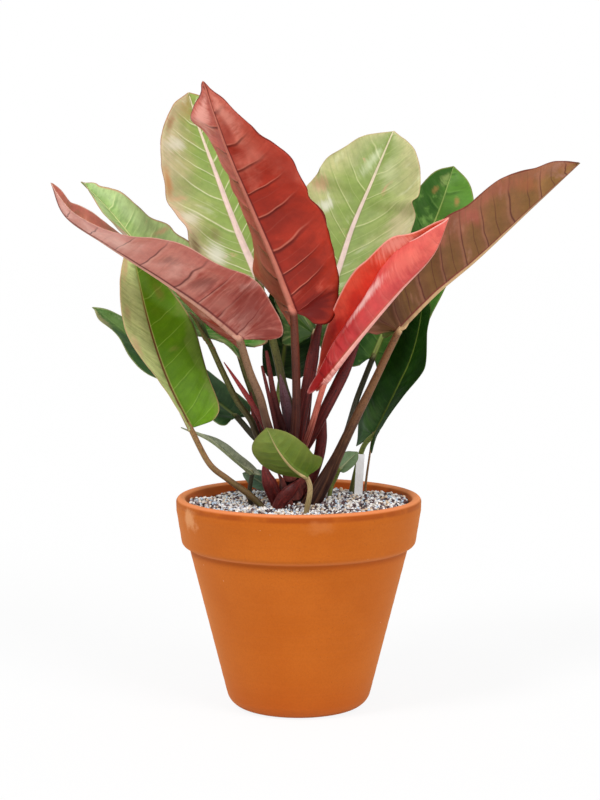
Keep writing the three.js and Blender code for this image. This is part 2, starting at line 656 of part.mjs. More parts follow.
function cutFor(ground) {
  let cut = ground;
  for (const other of placed) {
    if (boxesMeet(cut, other.fat)) cut = cut.subtract(other.fat);
  }
  return largestBody(cut);
}

const clay = { roughness: 0.85, metalness: 0 };
const grounds = [
  { name: 'pot', colour: 0xb8602a, finish: clay, solid: potSolid() },
  { name: 'potting_mix', colour: 0x3a2a20, finish: clay, solid: cutFor(mixSolid()) },
  { name: 'grit_layer', colour: 0xb8b0ac, finish: clay, solid: cutFor(gritSolid()) },
];

const group = new THREE.Group();
for (const piece of [...grounds, ...placed]) {
  const material = new THREE.MeshStandardMaterial({ color: piece.colour, ...piece.finish });
  const mesh = new THREE.Mesh(geometryFrom(piece.solid), material);
  mesh.name = piece.name;
  group.add(mesh);
}

export default group;
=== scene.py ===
import math

import bpy
import numpy as np
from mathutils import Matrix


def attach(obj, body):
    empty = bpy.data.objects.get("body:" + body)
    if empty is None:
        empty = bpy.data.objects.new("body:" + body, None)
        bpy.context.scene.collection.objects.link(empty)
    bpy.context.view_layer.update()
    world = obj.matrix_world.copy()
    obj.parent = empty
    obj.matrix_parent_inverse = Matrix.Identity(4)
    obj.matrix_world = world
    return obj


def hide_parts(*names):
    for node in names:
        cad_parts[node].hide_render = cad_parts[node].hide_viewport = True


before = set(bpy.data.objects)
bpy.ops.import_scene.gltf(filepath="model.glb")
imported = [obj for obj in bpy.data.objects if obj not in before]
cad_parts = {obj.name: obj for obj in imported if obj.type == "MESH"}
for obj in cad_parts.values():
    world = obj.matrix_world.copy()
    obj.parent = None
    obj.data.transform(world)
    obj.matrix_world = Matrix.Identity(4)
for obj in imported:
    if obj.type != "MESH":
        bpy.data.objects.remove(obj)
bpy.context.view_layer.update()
mm = 0.001
fullTurn = 2 * math.pi
scene = bpy.context.scene
print("frame loaded with", len(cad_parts), "CAD nodes")


def rgb(red, green, blue):
    # a screen colour from 0 to 255, made linear for the shaders
    shares = [value / 255 for value in (red, green, blue)]
    return (*[s / 12.92 if s <= 0.04045 else ((s + 0.055) / 1.055) ** 2.4 for s in shares], 1)


# Small helpers for node trees. They work in shader trees and in geometry trees alike.
def fill(tree, socket, value):
    if isinstance(value, bpy.types.NodeSocket):
        tree.links.new(value, socket)
    else:
        socket.default_value = value


def addNode(tree, kind, inputs=None, **settings):
    node = tree.nodes.new(kind)
    for name, value in settings.items():
        setattr(node, name, value)
    for key, value in (inputs or {}).items():
        fill(tree, node.inputs[key], value)
    return node


def nodeOut(tree, kind, inputs=None, **settings):
    return addNode(tree, kind, inputs, **settings).outputs[0]


def calc(tree, operation, *values, clamp=False):
    sockets = dict(enumerate(values))
    return nodeOut(tree, "ShaderNodeMath", sockets, operation=operation, use_clamp=clamp)


def times(tree, first, *others):
    for value in others:
        first = calc(tree, "MULTIPLY", first, value)
    return first


def plus(tree, first, *others):
    for value in others:
        first = calc(tree, "ADD", first, value)
    return first


def minus(tree, first, second):
    return calc(tree, "SUBTRACT", first, second)


def strayed(tree, value, noise, amount):
    # the value, moved up and down by a noise that runs from 0 to 1
    return calc(tree, "MULTIPLY_ADD", minus(tree, noise, 0.5), amount, value)


def ease(tree, value, start, end, low=0.0, high=1.0):
    # runs smoothly from low at start to high at end
    sockets = {"Value": value, "From Min": start, "From Max": end, "To Min": low, "To Max": high}
    return nodeOut(tree, "ShaderNodeMapRange", sockets, interpolation_type="SMOOTHSTEP")


def vector(tree, x=0.0, y=0.0, z=0.0):
    return nodeOut(tree, "ShaderNodeCombineXYZ", {0: x, 1: y, 2: z})


def vectorCalc(tree, operation, *values):
    return addNode(tree, "ShaderNodeVectorMath", dict(enumerate(values)), operation=operation).outputs


def scaled(tree, value, amount):
    return nodeOut(tree, "ShaderNodeVectorMath", {0: value, "Scale": amount}, operation="SCALE")


def splitVector(tree, value):
    return list(addNode(tree, "ShaderNodeSeparateXYZ", {0: value}).outputs)


def mixColours(tree, share, first, second):
    node = addNode(tree, "ShaderNodeMix", data_type="RGBA")
    for index, value in ((0, share), (6, first), (7, second)):
        fill(tree, node.inputs[index], value)
    return node.outputs[2]


def readAttribute(tree, name):
    return addNode(tree, "ShaderNodeAttribute", attribute_name=name).outputs["Fac"]


def noiseAt(tree, place, scale, detail=3.0, roughness=0.55, distortion=0.0):
    sockets = {"Vector": place, "Scale": scale, "Detail": detail, "Roughness": roughness,
               "Distortion": distortion}
    return nodeOut(tree, "ShaderNodeTexNoise", sockets)


def newGroup(name, kind, sockets, outputs):
    # a node tree with named inputs; sockets holds (name, type, value)
    tree = bpy.data.node_groups.new(name, kind)
    for label, form, value in sockets:
        socket = tree.interface.new_socket(name=label, in_out="INPUT", socket_type=f"NodeSocket{form}")
        if value is not None:
            socket.default_value = value
    for label, form in outputs:
        tree.interface.new_socket(name=label, in_out="OUTPUT", socket_type=f"NodeSocket{form}")
    return tree, tree.nodes.new("NodeGroupInput").outputs, tree.nodes.new("NodeGroupOutput").inputs


def newMaterial(name, roughness=0.5, shine=None):
    material = bpy.data.materials.new(name)
    material.use_nodes = True
    shader = material.node_tree.nodes["Principled BSDF"]
    shader.inputs["Roughness"].default_value = roughness
    if shine is not None:
        shader.inputs["Specular IOR Level"].default_value = shine
    return material, material.node_tree, shader


def bumpFrom(tree, shader, height, distance, strength=1.0):
    sockets = {"Height": height, "Distance": distance, "Strength": strength}
    fill(tree, shader.inputs["Normal"], nodeOut(tree, "ShaderNodeBump", sockets))


def objectPlace(tree):
    return addNode(tree, "ShaderNodeTexCoord").outputs["Object"]


def geometryTree(name, sockets):
    # a Geometry Nodes tree that takes a geometry and a material, and gives a geometry
    named = [("Geometry", "Geometry", None), *sockets, ("Material", "Material", None)]
    tree, inputs, outputs = newGroup(name, "GeometryNodeTree", named, [("Geometry", "Geometry")])
    tree.is_modifier = True
    return tree, inputs, outputs


def endTree(tree, inputs, outputs, geometry):
    loose = nodeOut(tree, "GeometryNodeRealizeInstances", {0: geometry})
    sockets = {"Geometry": loose, "Material": inputs["Material"]}
    fill(tree, outputs[0], nodeOut(tree, "GeometryNodeSetMaterial", sockets))
    return tree


def bake(piece, tree, values):
    # runs a Geometry Nodes tree on a piece, and leaves the result as the piece's plain mesh
    modifier = piece.modifiers.new(tree.name, "NODES")
    modifier.node_group = tree
    codes = {item.name: item.identifier for item in tree.interface.items_tree if item.in_out == "INPUT"}
    for label, value in values.items():
        modifier[codes[label]] = value
    graph = bpy.context.evaluated_depsgraph_get()
    mesh = bpy.data.meshes.new_from_object(piece.evaluated_get(graph), depsgraph=graph)
    piece.modifiers.clear()
    name = piece.name
    made = bpy.data.objects.new(name + "_made", mesh)
    bpy.data.objects.remove(piece)
    made.name = name
    mesh.name = name
    scene.collection.objects.link(made)
    smooth(made)
    return made


def smooth(piece, soft=True):
    piece.data.polygons.foreach_set("use_smooth", np.full(len(piece.data.polygons), soft))


def settle(piece, slot, *nodes):
    # every piece rides on the one body, and stands for the CAD nodes that it is shaped after
    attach(piece, "root")
    if nodes:
        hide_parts(*nodes)


def meshPiece(name, points, faces, material=None):
    mesh = bpy.data.meshes.new(name)
    mesh.from_pydata([tuple(p) for p in np.asarray(points) * mm], [], faces)
    piece = bpy.data.objects.new(name, mesh)
    scene.collection.objects.link(piece)
    smooth(piece)
    if material:
        mesh.materials.append(material)
    return piece


def giveAttribute(piece, name, values):
    layer = piece.data.attributes.new(name, "FLOAT", "POINT")
    layer.data.foreach_set("value", np.asarray(values, np.float32))


def catmullRom(points, shares):
    points = np.asarray(points, float)
    count = len(points) - 1
    ends = np.vstack([2 * points[0] - points[1], points, 2 * points[-1] - points[-2]])
    place = np.clip(shares, 0, 1) * count
    span = np.minimum(place.astype(int), count - 1)
    t = (place - span)[..., None]
    a, b, c, d = (ends[span + step] for step in range(4))
    cubic = (3 * b - a - 3 * c + d) * t ** 3
    return 0.5 * (2 * b + (c - a) * t + (2 * a - 5 * b + 4 * c - d) * t ** 2 + cubic)


def runAlong(points):
    # the distance from the first point to each point
    return np.concatenate([[0], np.cumsum(np.linalg.norm(np.diff(points, axis=0), axis=1))])


def evenCurve(points, count=201):
    # places and directions at equal steps along a smooth curve, and its length
    fine = catmullRom(points, np.linspace(0, 1, 801))  # fine enough for every count here
    run = runAlong(fine)
    steps = np.linspace(0, run[-1], count)
    even = np.stack([np.interp(steps, run, fine[:, axis]) for axis in range(3)], -1)
    tangents = np.gradient(even, axis=0)
    return even, tangents / np.linalg.norm(tangents, axis=1)[:, None], run[-1]


# The face of a leaf as a shader group. Its patterns follow the leaf's own attributes: vein counts
# along the blade, and reach goes from the midrib (0) to the margin (1, or -1 on the other half).
faceSockets = [
    ("Foot", "Color", rgb(90, 120, 60)), ("Middle", "Color", rgb(90, 120, 60)),
    ("Tip", "Color", rgb(90, 120, 60)),
    ("Inner", "Color", rgb(80, 110, 50)), ("Inner Share", "Float", 0.0), ("Inner End", "Float", 0.45),
    ("Outer", "Color", rgb(120, 130, 90)), ("Outer Share", "Float", 0.0), ("Outer Side", "Float", 0.0),
    ("Outer Start", "Float", 0.5),
    ("Side", "Color", rgb(120, 120, 90)), ("Side Share", "Float", 0.0), ("Side Sign", "Float", 1.0),
    ("Blotch", "Color", rgb(200, 190, 160)), ("Blotch Level", "Float", 0.9),
    ("Blotch Side", "Float", 0.0), ("Blotch Softness", "Float", 0.14),
    ("Cloud", "Color", rgb(120, 90, 70)), ("Cloud Level", "Float", 0.9), ("Cloud Side", "Float", 0.0),
    ("Vein", "Color", rgb(140, 160, 100)), ("Vein Share", "Float", 0.4), ("Vein Width", "Float", 0.055),
    ("Vein Reach", "Float", 0.85), ("Minor Share", "Float", 0.3),
    # the next colour is a painted shadow line beside each side vein, and a painted highlight where that
    # colour is light
    ("Vein Shading", "Color", rgb(60, 80, 40)), ("Vein Shading Share", "Float", 0.25),
    ("Streak Share", "Float", 0.3),
    ("Between", "Color", rgb(80, 110, 55)), ("Between Share", "Float", 0.2),
    ("Rib", "Color", rgb(170, 170, 110)), ("Rib Width", "Float", 4.0), ("Rib Share", "Float", 0.9),
    ("Rib Line", "Color", rgb(120, 110, 70)), ("Rib Line Share", "Float", 0.3),
    ("Edge", "Color", rgb(120, 110, 70)), ("Edge Width", "Float", 1.6), ("Edge Share", "Float", 0.7),
    ("Veins", "Float", 12.0),
]
leafFields = ("vein", "reach", "along", "ribGap", "edgeGap")
veinWander = {"stagger": 0.42, "spacing": 1.1, "spacingScale": 0.45, "halfShift": 7.0, "bend": 0.2,
              "bendScale": (0.8, 2.2)}
facePattern = {  # a noise is given as scale, detail, roughness and distortion
    "cloud": (20.0, 3.0, 0.55, 0.6), "mottle": (90.0, 4.0, 0.65), "stain": (30.0, 4.0, 0.6, 0.5),
    "streak": (1.0, 3.0, 0.6), "blotch": (1.0, 4.0, 0.6, 0.5), "streakFlow": (70.0, 2.2),
    "blotchFlow": (17.0, 1.5), "streakLevels": (0.42, 0.72), "stainSoftness": 0.12, "stainShare": 0.85,
    "alongStray": 0.9, "outStray": 1.1, "veinShadingShift": 1.5, "veinShadingWidth": 2.4, "minorShift": 0.47,
    "minorWidth": 0.8, "ribNarrowing": 0.82, "ribLineReach": (1.7, 1.1), "ribEdge": 0.7,
    "ribBlend": 0.6, "mottleShade": (0.9, 1.08), "streakRelief": 0.8, "footToMiddle": (0.05, 0.5),
    "middleToTip": (0.5, 1.0), "innerStart": 0.05, "outerEnd": 0.95, "betweenFade": (1.0, 0.5),
    "veinFade": 0.4, "edgeFade": 0.3, "ribFade": (0.5, 0.95), "mottleLevels": (0.25, 0.75),
}


def veinPhase(tree, vein, reach, veins):
    # whole numbers lie on the veins; the halves start apart, and the spacing wanders a little
    half = calc(tree, "GREATER_THAN", reach, 0.0)
    count = times(tree, vein, veins)
    spread = vector(tree, times(tree, count, veinWander["spacingScale"]),
                    times(tree, half, veinWander["halfShift"]))
    spacing = minus(tree, noiseAt(tree, spread, 1.0, 0.0), 0.5)
    bent = vector(tree, *(times(tree, value, scale)
                          for value, scale in zip((count, reach), veinWander["bendScale"])))
    bend = minus(tree, noiseAt(tree, bent, 1.0, 1.0), 0.5)
    shift = plus(tree, times(tree, spacing, veinWander["spacing"]),
                 times(tree, bend, veinWander["bend"]))
    return plus(tree, count, times(tree, half, veinWander["stagger"]), shift)


def lineMask(tree, phase, width):
    # 1 on whole numbers of the phase, and 0 from width on
    off = calc(tree, "ABSOLUTE", minus(tree, calc(tree, "FRACT", phase), 0.5))
    return ease(tree, minus(tree, 0.5, off), width, 0.0)


def onSide(tree, reach, sign):
    # 1 on the half with this sign, or everywhere when the sign is 0
    return calc(tree, "GREATER_THAN", times(tree, reach, sign), -1e-4)


def buildLeafFace():
    outputs = [("Color", "Color"), ("Height", "Float"), ("Streaks", "Float")]
    tree, inputs, results = newGroup("leafFace", "ShaderNodeTree", faceSockets, outputs)
    given = {socket.name: socket for socket in inputs}
    vein, reach, along, ribGap, edgeGap = (readAttribute(tree, name) for name in leafFields)
    outward = calc(tree, "ABSOLUTE", reach)
    half = calc(tree, "SIGN", reach)
    place = objectPlace(tree)
    pattern = facePattern

    def flow(scales):
        # a place that runs along the veins, so that a noise there is drawn out into streaks
        return vector(tree, times(tree, vein, scales[0]), times(tree, outward, scales[1]), half)

    def tint(colour, share, other):
        return mixColours(tree, share, colour, given[other])

    def shareOf(mask, name):
        return times(tree, mask, given[name])

    cloud = noiseAt(tree, place, *pattern["cloud"])
    mottle = noiseAt(tree, place, *pattern["mottle"])
    drift = strayed(tree, along, cloud, pattern["alongStray"])
    outDrift = strayed(tree, outward, cloud, pattern["outStray"])
    risen = ease(tree, drift, *pattern["footToMiddle"])
    colour = mixColours(tree, risen, given["Foot"], given["Middle"])
    colour = tint(colour, ease(tree, drift, *pattern["middleToTip"]), "Tip")
    colour = tint(colour, shareOf(onSide(tree, reach, given["Side Sign"]), "Side Share"), "Side")
    inner = ease(tree, outDrift, given["Inner End"], pattern["innerStart"])
    colour = tint(colour, shareOf(inner, "Inner Share"), "Inner")
    outer = times(tree, ease(tree, outDrift, given["Outer Start"], pattern["outerEnd"]),
                  onSide(tree, reach, given["Outer Side"]))
    colour = tint(colour, shareOf(outer, "Outer Share"), "Outer")
    # fields between the side veins, streaks, stains and blotches
    phase = veinPhase(tree, vein, reach, given["Veins"])
    turn = calc(tree, "COSINE", times(tree, phase, fullTurn))
    field = times(tree, calc(tree, "MULTIPLY_ADD", turn, -0.5, 0.5),
                  ease(tree, outward, *pattern["betweenFade"]))
    colour = tint(colour, shareOf(field, "Between Share"), "Between")
    streaks = noiseAt(tree, flow(pattern["streakFlow"]), *pattern["streak"])
    streaky = ease(tree, streaks, *pattern["streakLevels"])
    colour = tint(colour, shareOf(streaky, "Streak Share"), "Between")
    stains = ease(tree, noiseAt(tree, place, *pattern["stain"]), given["Cloud Level"],
                  plus(tree, given["Cloud Level"], pattern["stainSoftness"]))
    stains = times(tree, stains, onSide(tree, reach, given["Cloud Side"]), pattern["stainShare"])
    colour = tint(colour, stains, "Cloud")
    blotches = noiseAt(tree, flow(pattern["blotchFlow"]), *pattern["blotch"])
    blotches = calc(tree, "MULTIPLY_ADD", blotches, 0.5, times(tree, cloud, 0.5))
    softened = plus(tree, given["Blotch Level"], given["Blotch Softness"])
    blotches = times(tree, ease(tree, blotches, given["Blotch Level"], softened),
                     onSide(tree, reach, given["Blotch Side"]))
    colour = tint(colour, blotches, "Blotch")
    # side veins with a painted shadow line beside each, which is a painted highlight where its colour
    # is light, then minor veins, the margin and the midrib
    fading = ease(tree, outward, given["Vein Reach"],
                  times(tree, given["Vein Reach"], pattern["veinFade"]))
    # painted shadow line beside each vein, a painted highlight where its colour is light
    below = calc(tree, "MULTIPLY_ADD", given["Vein Width"], pattern["veinShadingShift"], phase)
    veinShading = lineMask(tree, below, times(tree, given["Vein Width"], pattern["veinShadingWidth"]))
    colour = tint(colour, shareOf(times(tree, veinShading, fading), "Vein Shading Share"), "Vein Shading")
    minor = lineMask(tree, plus(tree, phase, pattern["minorShift"]),
                     times(tree, given["Vein Width"], pattern["minorWidth"]))
    minor = times(tree, shareOf(minor, "Minor Share"), times(tree, fading, fading))
    main = times(tree, lineMask(tree, phase, given["Vein Width"]), fading)
    colour = tint(colour, shareOf(calc(tree, "MAXIMUM", main, minor), "Vein Share"), "Vein")
    edge = ease(tree, edgeGap, given["Edge Width"],
                times(tree, given["Edge Width"], pattern["edgeFade"]))
    colour = tint(colour, shareOf(edge, "Edge Share"), "Edge")
    narrowing = calc(tree, "MULTIPLY_ADD", along, -pattern["ribNarrowing"], 1.0)
    ribReach = times(tree, given["Rib Width"], narrowing)
    beside = ease(tree, ribGap, *(times(tree, ribReach, share) for share in pattern["ribLineReach"]))
    colour = tint(colour, shareOf(beside, "Rib Line Share"), "Rib Line")
    rib = ease(tree, ribGap, ribReach, times(tree, ribReach, pattern["ribEdge"]))
    tipwards = ease(tree, along, *pattern["ribFade"], 0.0, pattern["ribBlend"])
    ribColour = tint(given["Rib"], tipwards, "Vein")
    colour = mixColours(tree, shareOf(rib, "Rib Share"), colour, ribColour)
    shade = ease(tree, mottle, *pattern["mottleLevels"], *pattern["mottleShade"])
    fill(tree, results["Color"], scaled(tree, colour, shade))
    relief = plus(tree, times(tree, streaks, pattern["streakRelief"]), mottle)
    fill(tree, results["Height"], relief)
    fill(tree, results["Streaks"], streaks)
    return tree


leafFace = buildLeafFace()
patchEdge = {"ragged": 1.5, "outer": 1.1, "inner": 0.1}


def leafMaterial(name, leaf):
    material, tree, shader = newMaterial(name, leaf["gloss"], leaf["shine"])
    faces = []
    for side in ("under", "upper"):
        node = addNode(tree, "ShaderNodeGroup", node_tree=leafFace)
        for label, value in {**leaf[side], "Veins": leaf["veins"]}.items():
            node.inputs[label].default_value = rgb(*value) if isinstance(value, tuple) else value
        faces.append(node.outputs)
    upper, reach, along = (readAttribute(tree, name) for name in ("upper", "reach", "along"))
    colour = mixColours(tree, upper, faces[0]["Color"], faces[1]["Color"])
    ragged = minus(tree, faces[0]["Streaks"], 0.5)
    for outwards, up, wide, high, share, patch in leaf["patches"]:
        aside = calc(tree, "DIVIDE", minus(tree, reach, outwards), wide)
        above = calc(tree, "DIVIDE", minus(tree, along, up), high)
        gap = calc(tree, "SQRT", plus(tree, times(tree, aside, aside), times(tree, above, above)))
        gap = calc(tree, "MULTIPLY_ADD", ragged, patchEdge["ragged"], gap)
        mask = ease(tree, gap, patchEdge["outer"], patchEdge["inner"], 0.0, share)
        colour = mixColours(tree, mask, colour, rgb(*patch))
    fill(tree, shader.inputs["Base Color"], colour)
    bumpFrom(tree, shader, faces[0]["Height"], 0.5 * mm, 0.7)
    return material


reliefShape = {
    "foldScale": 26.0, "foldFade": (0.1, 0.5), "veinFade": (0.95, 0.3), "ribClear": (0.5, 1.3),
    "ribSink": 0.3, "widthNarrowing": 0.8, "heightNarrowing": 0.85,
}


# Veins and midrib as real relief: they stand out of the underside and lie in the upper side
def buildLeafRelief():
    tree, inputs, outputs = geometryTree("leafRelief", [
        ("Veins", "Float", 12.0), ("Vein Height", "Float", 0.7), ("Vein Width", "Float", 0.1),
        ("Pucker", "Float", 0.5), ("Folds", "Float", 1.5), ("Rib Height", "Float", 4.0),
        ("Rib Width", "Float", 5.0),
    ])

    def read(name):
        node = addNode(tree, "GeometryNodeInputNamedAttribute", {"Name": name}, data_type="FLOAT")
        return node.outputs["Attribute"]

    vein, reach, along = (read(name) for name in ("vein", "reach", "along"))
    ribGap, upper = read("ribGap"), read("upper")
    outward = calc(tree, "ABSOLUTE", reach)
    phase = veinPhase(tree, vein, reach, inputs["Veins"])
    clear = ease(tree, ribGap, *(times(tree, inputs["Rib Width"], share)
                                 for share in reliefShape["ribClear"]))
    ridge = times(tree, lineMask(tree, phase, inputs["Vein Width"]),
                  ease(tree, outward, *reliefShape["veinFade"]), clear, inputs["Vein Height"])
    turn = calc(tree, "COSINE", times(tree, phase, fullTurn))
    swell = times(tree, minus(tree, 1.0, turn), inputs["Pucker"])
    swell = times(tree, swell, calc(tree, "SINE", times(tree, outward, math.pi)))
    place = nodeOut(tree, "GeometryNodeInputPosition")
    soft = minus(tree, noiseAt(tree, place, reliefShape["foldScale"], 1.0, 0.4), 0.5)
    soft = times(tree, soft, inputs["Folds"], ease(tree, outward, *reliefShape["foldFade"]))
    swell = plus(tree, swell, soft)
    narrowing = calc(tree, "MULTIPLY_ADD", along, -reliefShape["widthNarrowing"], 1.0)
    share = calc(tree, "DIVIDE", ribGap, times(tree, inputs["Rib Width"], narrowing))
    domed = calc(tree, "SUBTRACT", 1.0, times(tree, share, share), clamp=True)
    lowering = calc(tree, "MULTIPLY_ADD", along, -reliefShape["heightNarrowing"], 1.0)
    raised = plus(tree, ridge, times(tree, domed, inputs["Rib Height"], lowering))
    below = minus(tree, raised, swell)
    above = minus(tree, swell, times(tree, raised, reliefShape["ribSink"]))
    lift = plus(tree, times(tree, above, upper), times(tree, below, minus(tree, 1.0, upper)))
    normal = nodeOut(tree, "GeometryNodeInputNormal")
    sockets = {"Geometry": inputs["Geometry"], "Offset": scaled(tree, normal, times(tree, lift, mm))}
    return endTree(tree, inputs, outputs, nodeOut(tree, "GeometryNodeSetPosition", sockets))


leafRelief = buildLeafRelief()

blade = {
    "thickness": 1.0, "columns": 17, "ribColumns": [0, 0.9, 1.8, 2.8, 4, 5.4, 7.2],
    "ribColumnShare": 0.035, "thinning": 0.45, "reliefWidth": 0.1,
}


def halfOutline(widest, lobe, taper):
    # half of a leaf's outline as shares of its half width and length, from the sinus to the tip
    rest = 1 - widest
    return np.array([
        [0.03, 0], [0.26, -0.85 * lobe], [0.58, -lobe], [0.86, 0.22 * widest - 0.35 * lobe],
        [1, widest], [0.955 ** taper, widest + 0.25 * rest], [0.8 ** taper, widest + 0.5 * rest],
        [0.55 ** taper, widest + 0.71 * rest], [0.26 ** taper, widest + 0.87 * rest], [0, 1],
    ])


def bulging(leaf, which, along, kind):
    # a bulge changes its half of the leaf about one place: wider by a share, and bent by degrees
    total = np.zeros_like(along)
    for half, place, spread, *amounts in leaf["bulges"]:
        if half == which:
            total += amounts[kind] * np.exp(-((along - place) / spread) ** 2)
    return total


def leafSheet(leaf):
    # points of both halves as [half][row][column], with the attributes of each point
    middle, directions, length = evenCurve(leaf["rib"])
    outline = halfOutline(leaf["widest"], leaf["lobe"], leaf["taper"])
    meanHalf = sum(leaf["half"]) / 2
    sweep = math.tan(math.radians(leaf["veinSweep"]))
    bow = leaf["veinBow"]
    faceStart, faceEnd = np.array(leaf["face"], float)

    def rootOf(edge):
        # where on the midrib the vein starts that ends at this point of the margin
        return np.maximum(0, edge[:, 1] - edge[:, 0] * meanHalf * sweep / length)

    trial = np.linspace(1 / 9, 1, 900)  # the first of the outline's nine spans is the sinus
    edge = catmullRom(outline, trial)
    halfway = (0.5 * rootOf(edge) + 0.5 * edge[:, 1]) * length
    run = runAlong(np.stack([0.5 * edge[:, 0] * meanHalf, halfway], -1))
    veins = np.linspace(0, 1, leaf["rows"])
    s = np.interp(veins, run / run[-1], trial)
    edge = catmullRom(outline, s)
    tip = edge[:, 1]
    root = rootOf(edge)
    halves = []
    for which, side in ((0, -1), (1, 1)):
        half = leaf["half"][which]
        x = edge[:, 0] * (1 + bulging(leaf, which, tip, 0))
        x[-1] = 0
        width = np.maximum(x * half, 1e-3)[:, None]
        steps = np.arange(len(blade["ribColumns"]))
        near = np.minimum(np.array(blade["ribColumns"])[None] / width, steps * blade["ribColumnShare"])
        rest = np.linspace(0, 1, blade["columns"] + 1)[1:]
        v = np.hstack([near, near[:, -1:] + (1 - near[:, -1:]) * rest])
        along = root[:, None] + (tip - root)[:, None] * v * (1 - bow + bow * v)
        held = np.clip(along, 0, 1)
        fold = leaf["fold"][which][0] + np.diff(leaf["fold"][which])[0] * held
        fold = np.radians(fold + bulging(leaf, which, held, 1))
        curl = np.radians(leaf["curl"][which][0] + np.diff(leaf["curl"][which])[0] * held)
        reach = x[:, None] * v
        out = half / curl * (np.sin(fold + curl * reach) - np.sin(fold))
        height, count, phase = leaf["wave"]
        swing = np.sin(fullTurn * count * s[:, None] + phase + side)
        wave = height * v ** 2 * np.sqrt(x)[:, None] * swing
        rise = -half / curl * (np.cos(fold + curl * reach) - np.cos(fold)) + wave
        place = held * (len(middle) - 1)
        low = np.minimum(place.astype(int), len(middle) - 2)
        t = (place - low)[..., None]
        centre = middle[low] * (1 - t) + middle[low + 1] * t
        direction = directions[low] * (1 - t) + directions[low + 1] * t
        normal = faceStart + (faceEnd - faceStart) * held[..., None]
        normal -= (normal * direction).sum(-1)[..., None] * direction
        normal /= np.linalg.norm(normal, axis=-1)[..., None]
        across = np.cross(direction, normal)
        points = centre + direction * ((along - held) * length)[..., None]
        points += side * across * out[..., None] + normal * rise[..., None]
        halves.append({
            "points": points, "vein": np.broadcast_to(veins[:, None], v.shape), "reach": side * v,
            "along": held, "ribGap": width * v, "edgeGap": width * (1 - v), "root": root,
        })
    return halves


def joinHalves(halves):
    # one open sheet out of both halves, which share the points of the midrib and the tip
    rows, columns = halves[0]["reach"].shape
    points, values, ids = [], {name: [] for name in leafFields}, {}
    for which, half in enumerate(halves):
        for row in range(rows):
            for column in range(columns):
                key = (which, row, column)
                if row == rows - 1:
                    key = "tip"
                elif column == 0:
                    key = ("root", round(half["root"][row], 6))
                if key not in ids:
                    ids[key] = len(points)
                    points.append(half["points"][row, column])
                    for name in leafFields:
                        values[name].append(half[name][row, column])
                ids[which, row, column] = ids[key]
    faces = []
    for which in (0, 1):
        for row in range(rows - 1):
            for column in range(columns - 1):
                a, b = ids[which, row, column], ids[which, row, column + 1]
                d, c = ids[which, row + 1, column], ids[which, row + 1, column + 1]
                ring = [a, b, c, d] if which == 1 else [a, d, c, b]
                ring = [p for k, p in enumerate(ring) if p != ring[k - 1]]
                if len(ring) > 2:
                    faces.append(ring)
    return np.array(points), faces, values


def leafBlade(name, leaf):
    # the sheet gets a thickness, and its margin is closed all round
    points, faces, values = joinHalves(leafSheet(leaf))
    used = {(ring[k - 1], ring[k]) for ring in faces for k in range(len(ring))}
    margin = [(a, b) for a, b in used if (b, a) not in used]
    normals = np.zeros_like(points)
    for ring in faces:
        p = points[ring]
        normals[ring] += np.cross(p[1] - p[0], p[2] - p[0])
    normals /= np.maximum(np.linalg.norm(normals, axis=1), 1e-12)[:, None]
    reach = np.abs(values["reach"])
    half = 0.5 * blade["thickness"] * (1 - blade["thinning"] * reach ** 4)[:, None]
    count = len(points)
    both = np.vstack([points + normals * half, points - normals * half])
    allFaces = faces + [[p + count for p in reversed(ring)] for ring in faces]
    allFaces += [[b, a, a + count, b + count] for a, b in sorted(margin)]
    piece = meshPiece(name, both, allFaces)
    for field in leafFields:
        giveAttribute(piece, field, values[field] * 2)
    giveAttribute(piece, "upper", [1] * count + [0] * count)
    return piece


# What most leaves share, in mm, degrees and shares
usualLeaf = {
    "gloss": 0.46, "shine": 0.2, "rows": 190, "veinSweep": 27, "veinBow": 0.72, "veinHeight": 0.5,
    "ribHeight": 3.8, "ribWidth": 5.0, "pucker": 0.4, "folds": 3.0, "taper": 1, "swell": 0,
    "bulges": [], "patches": [],
}

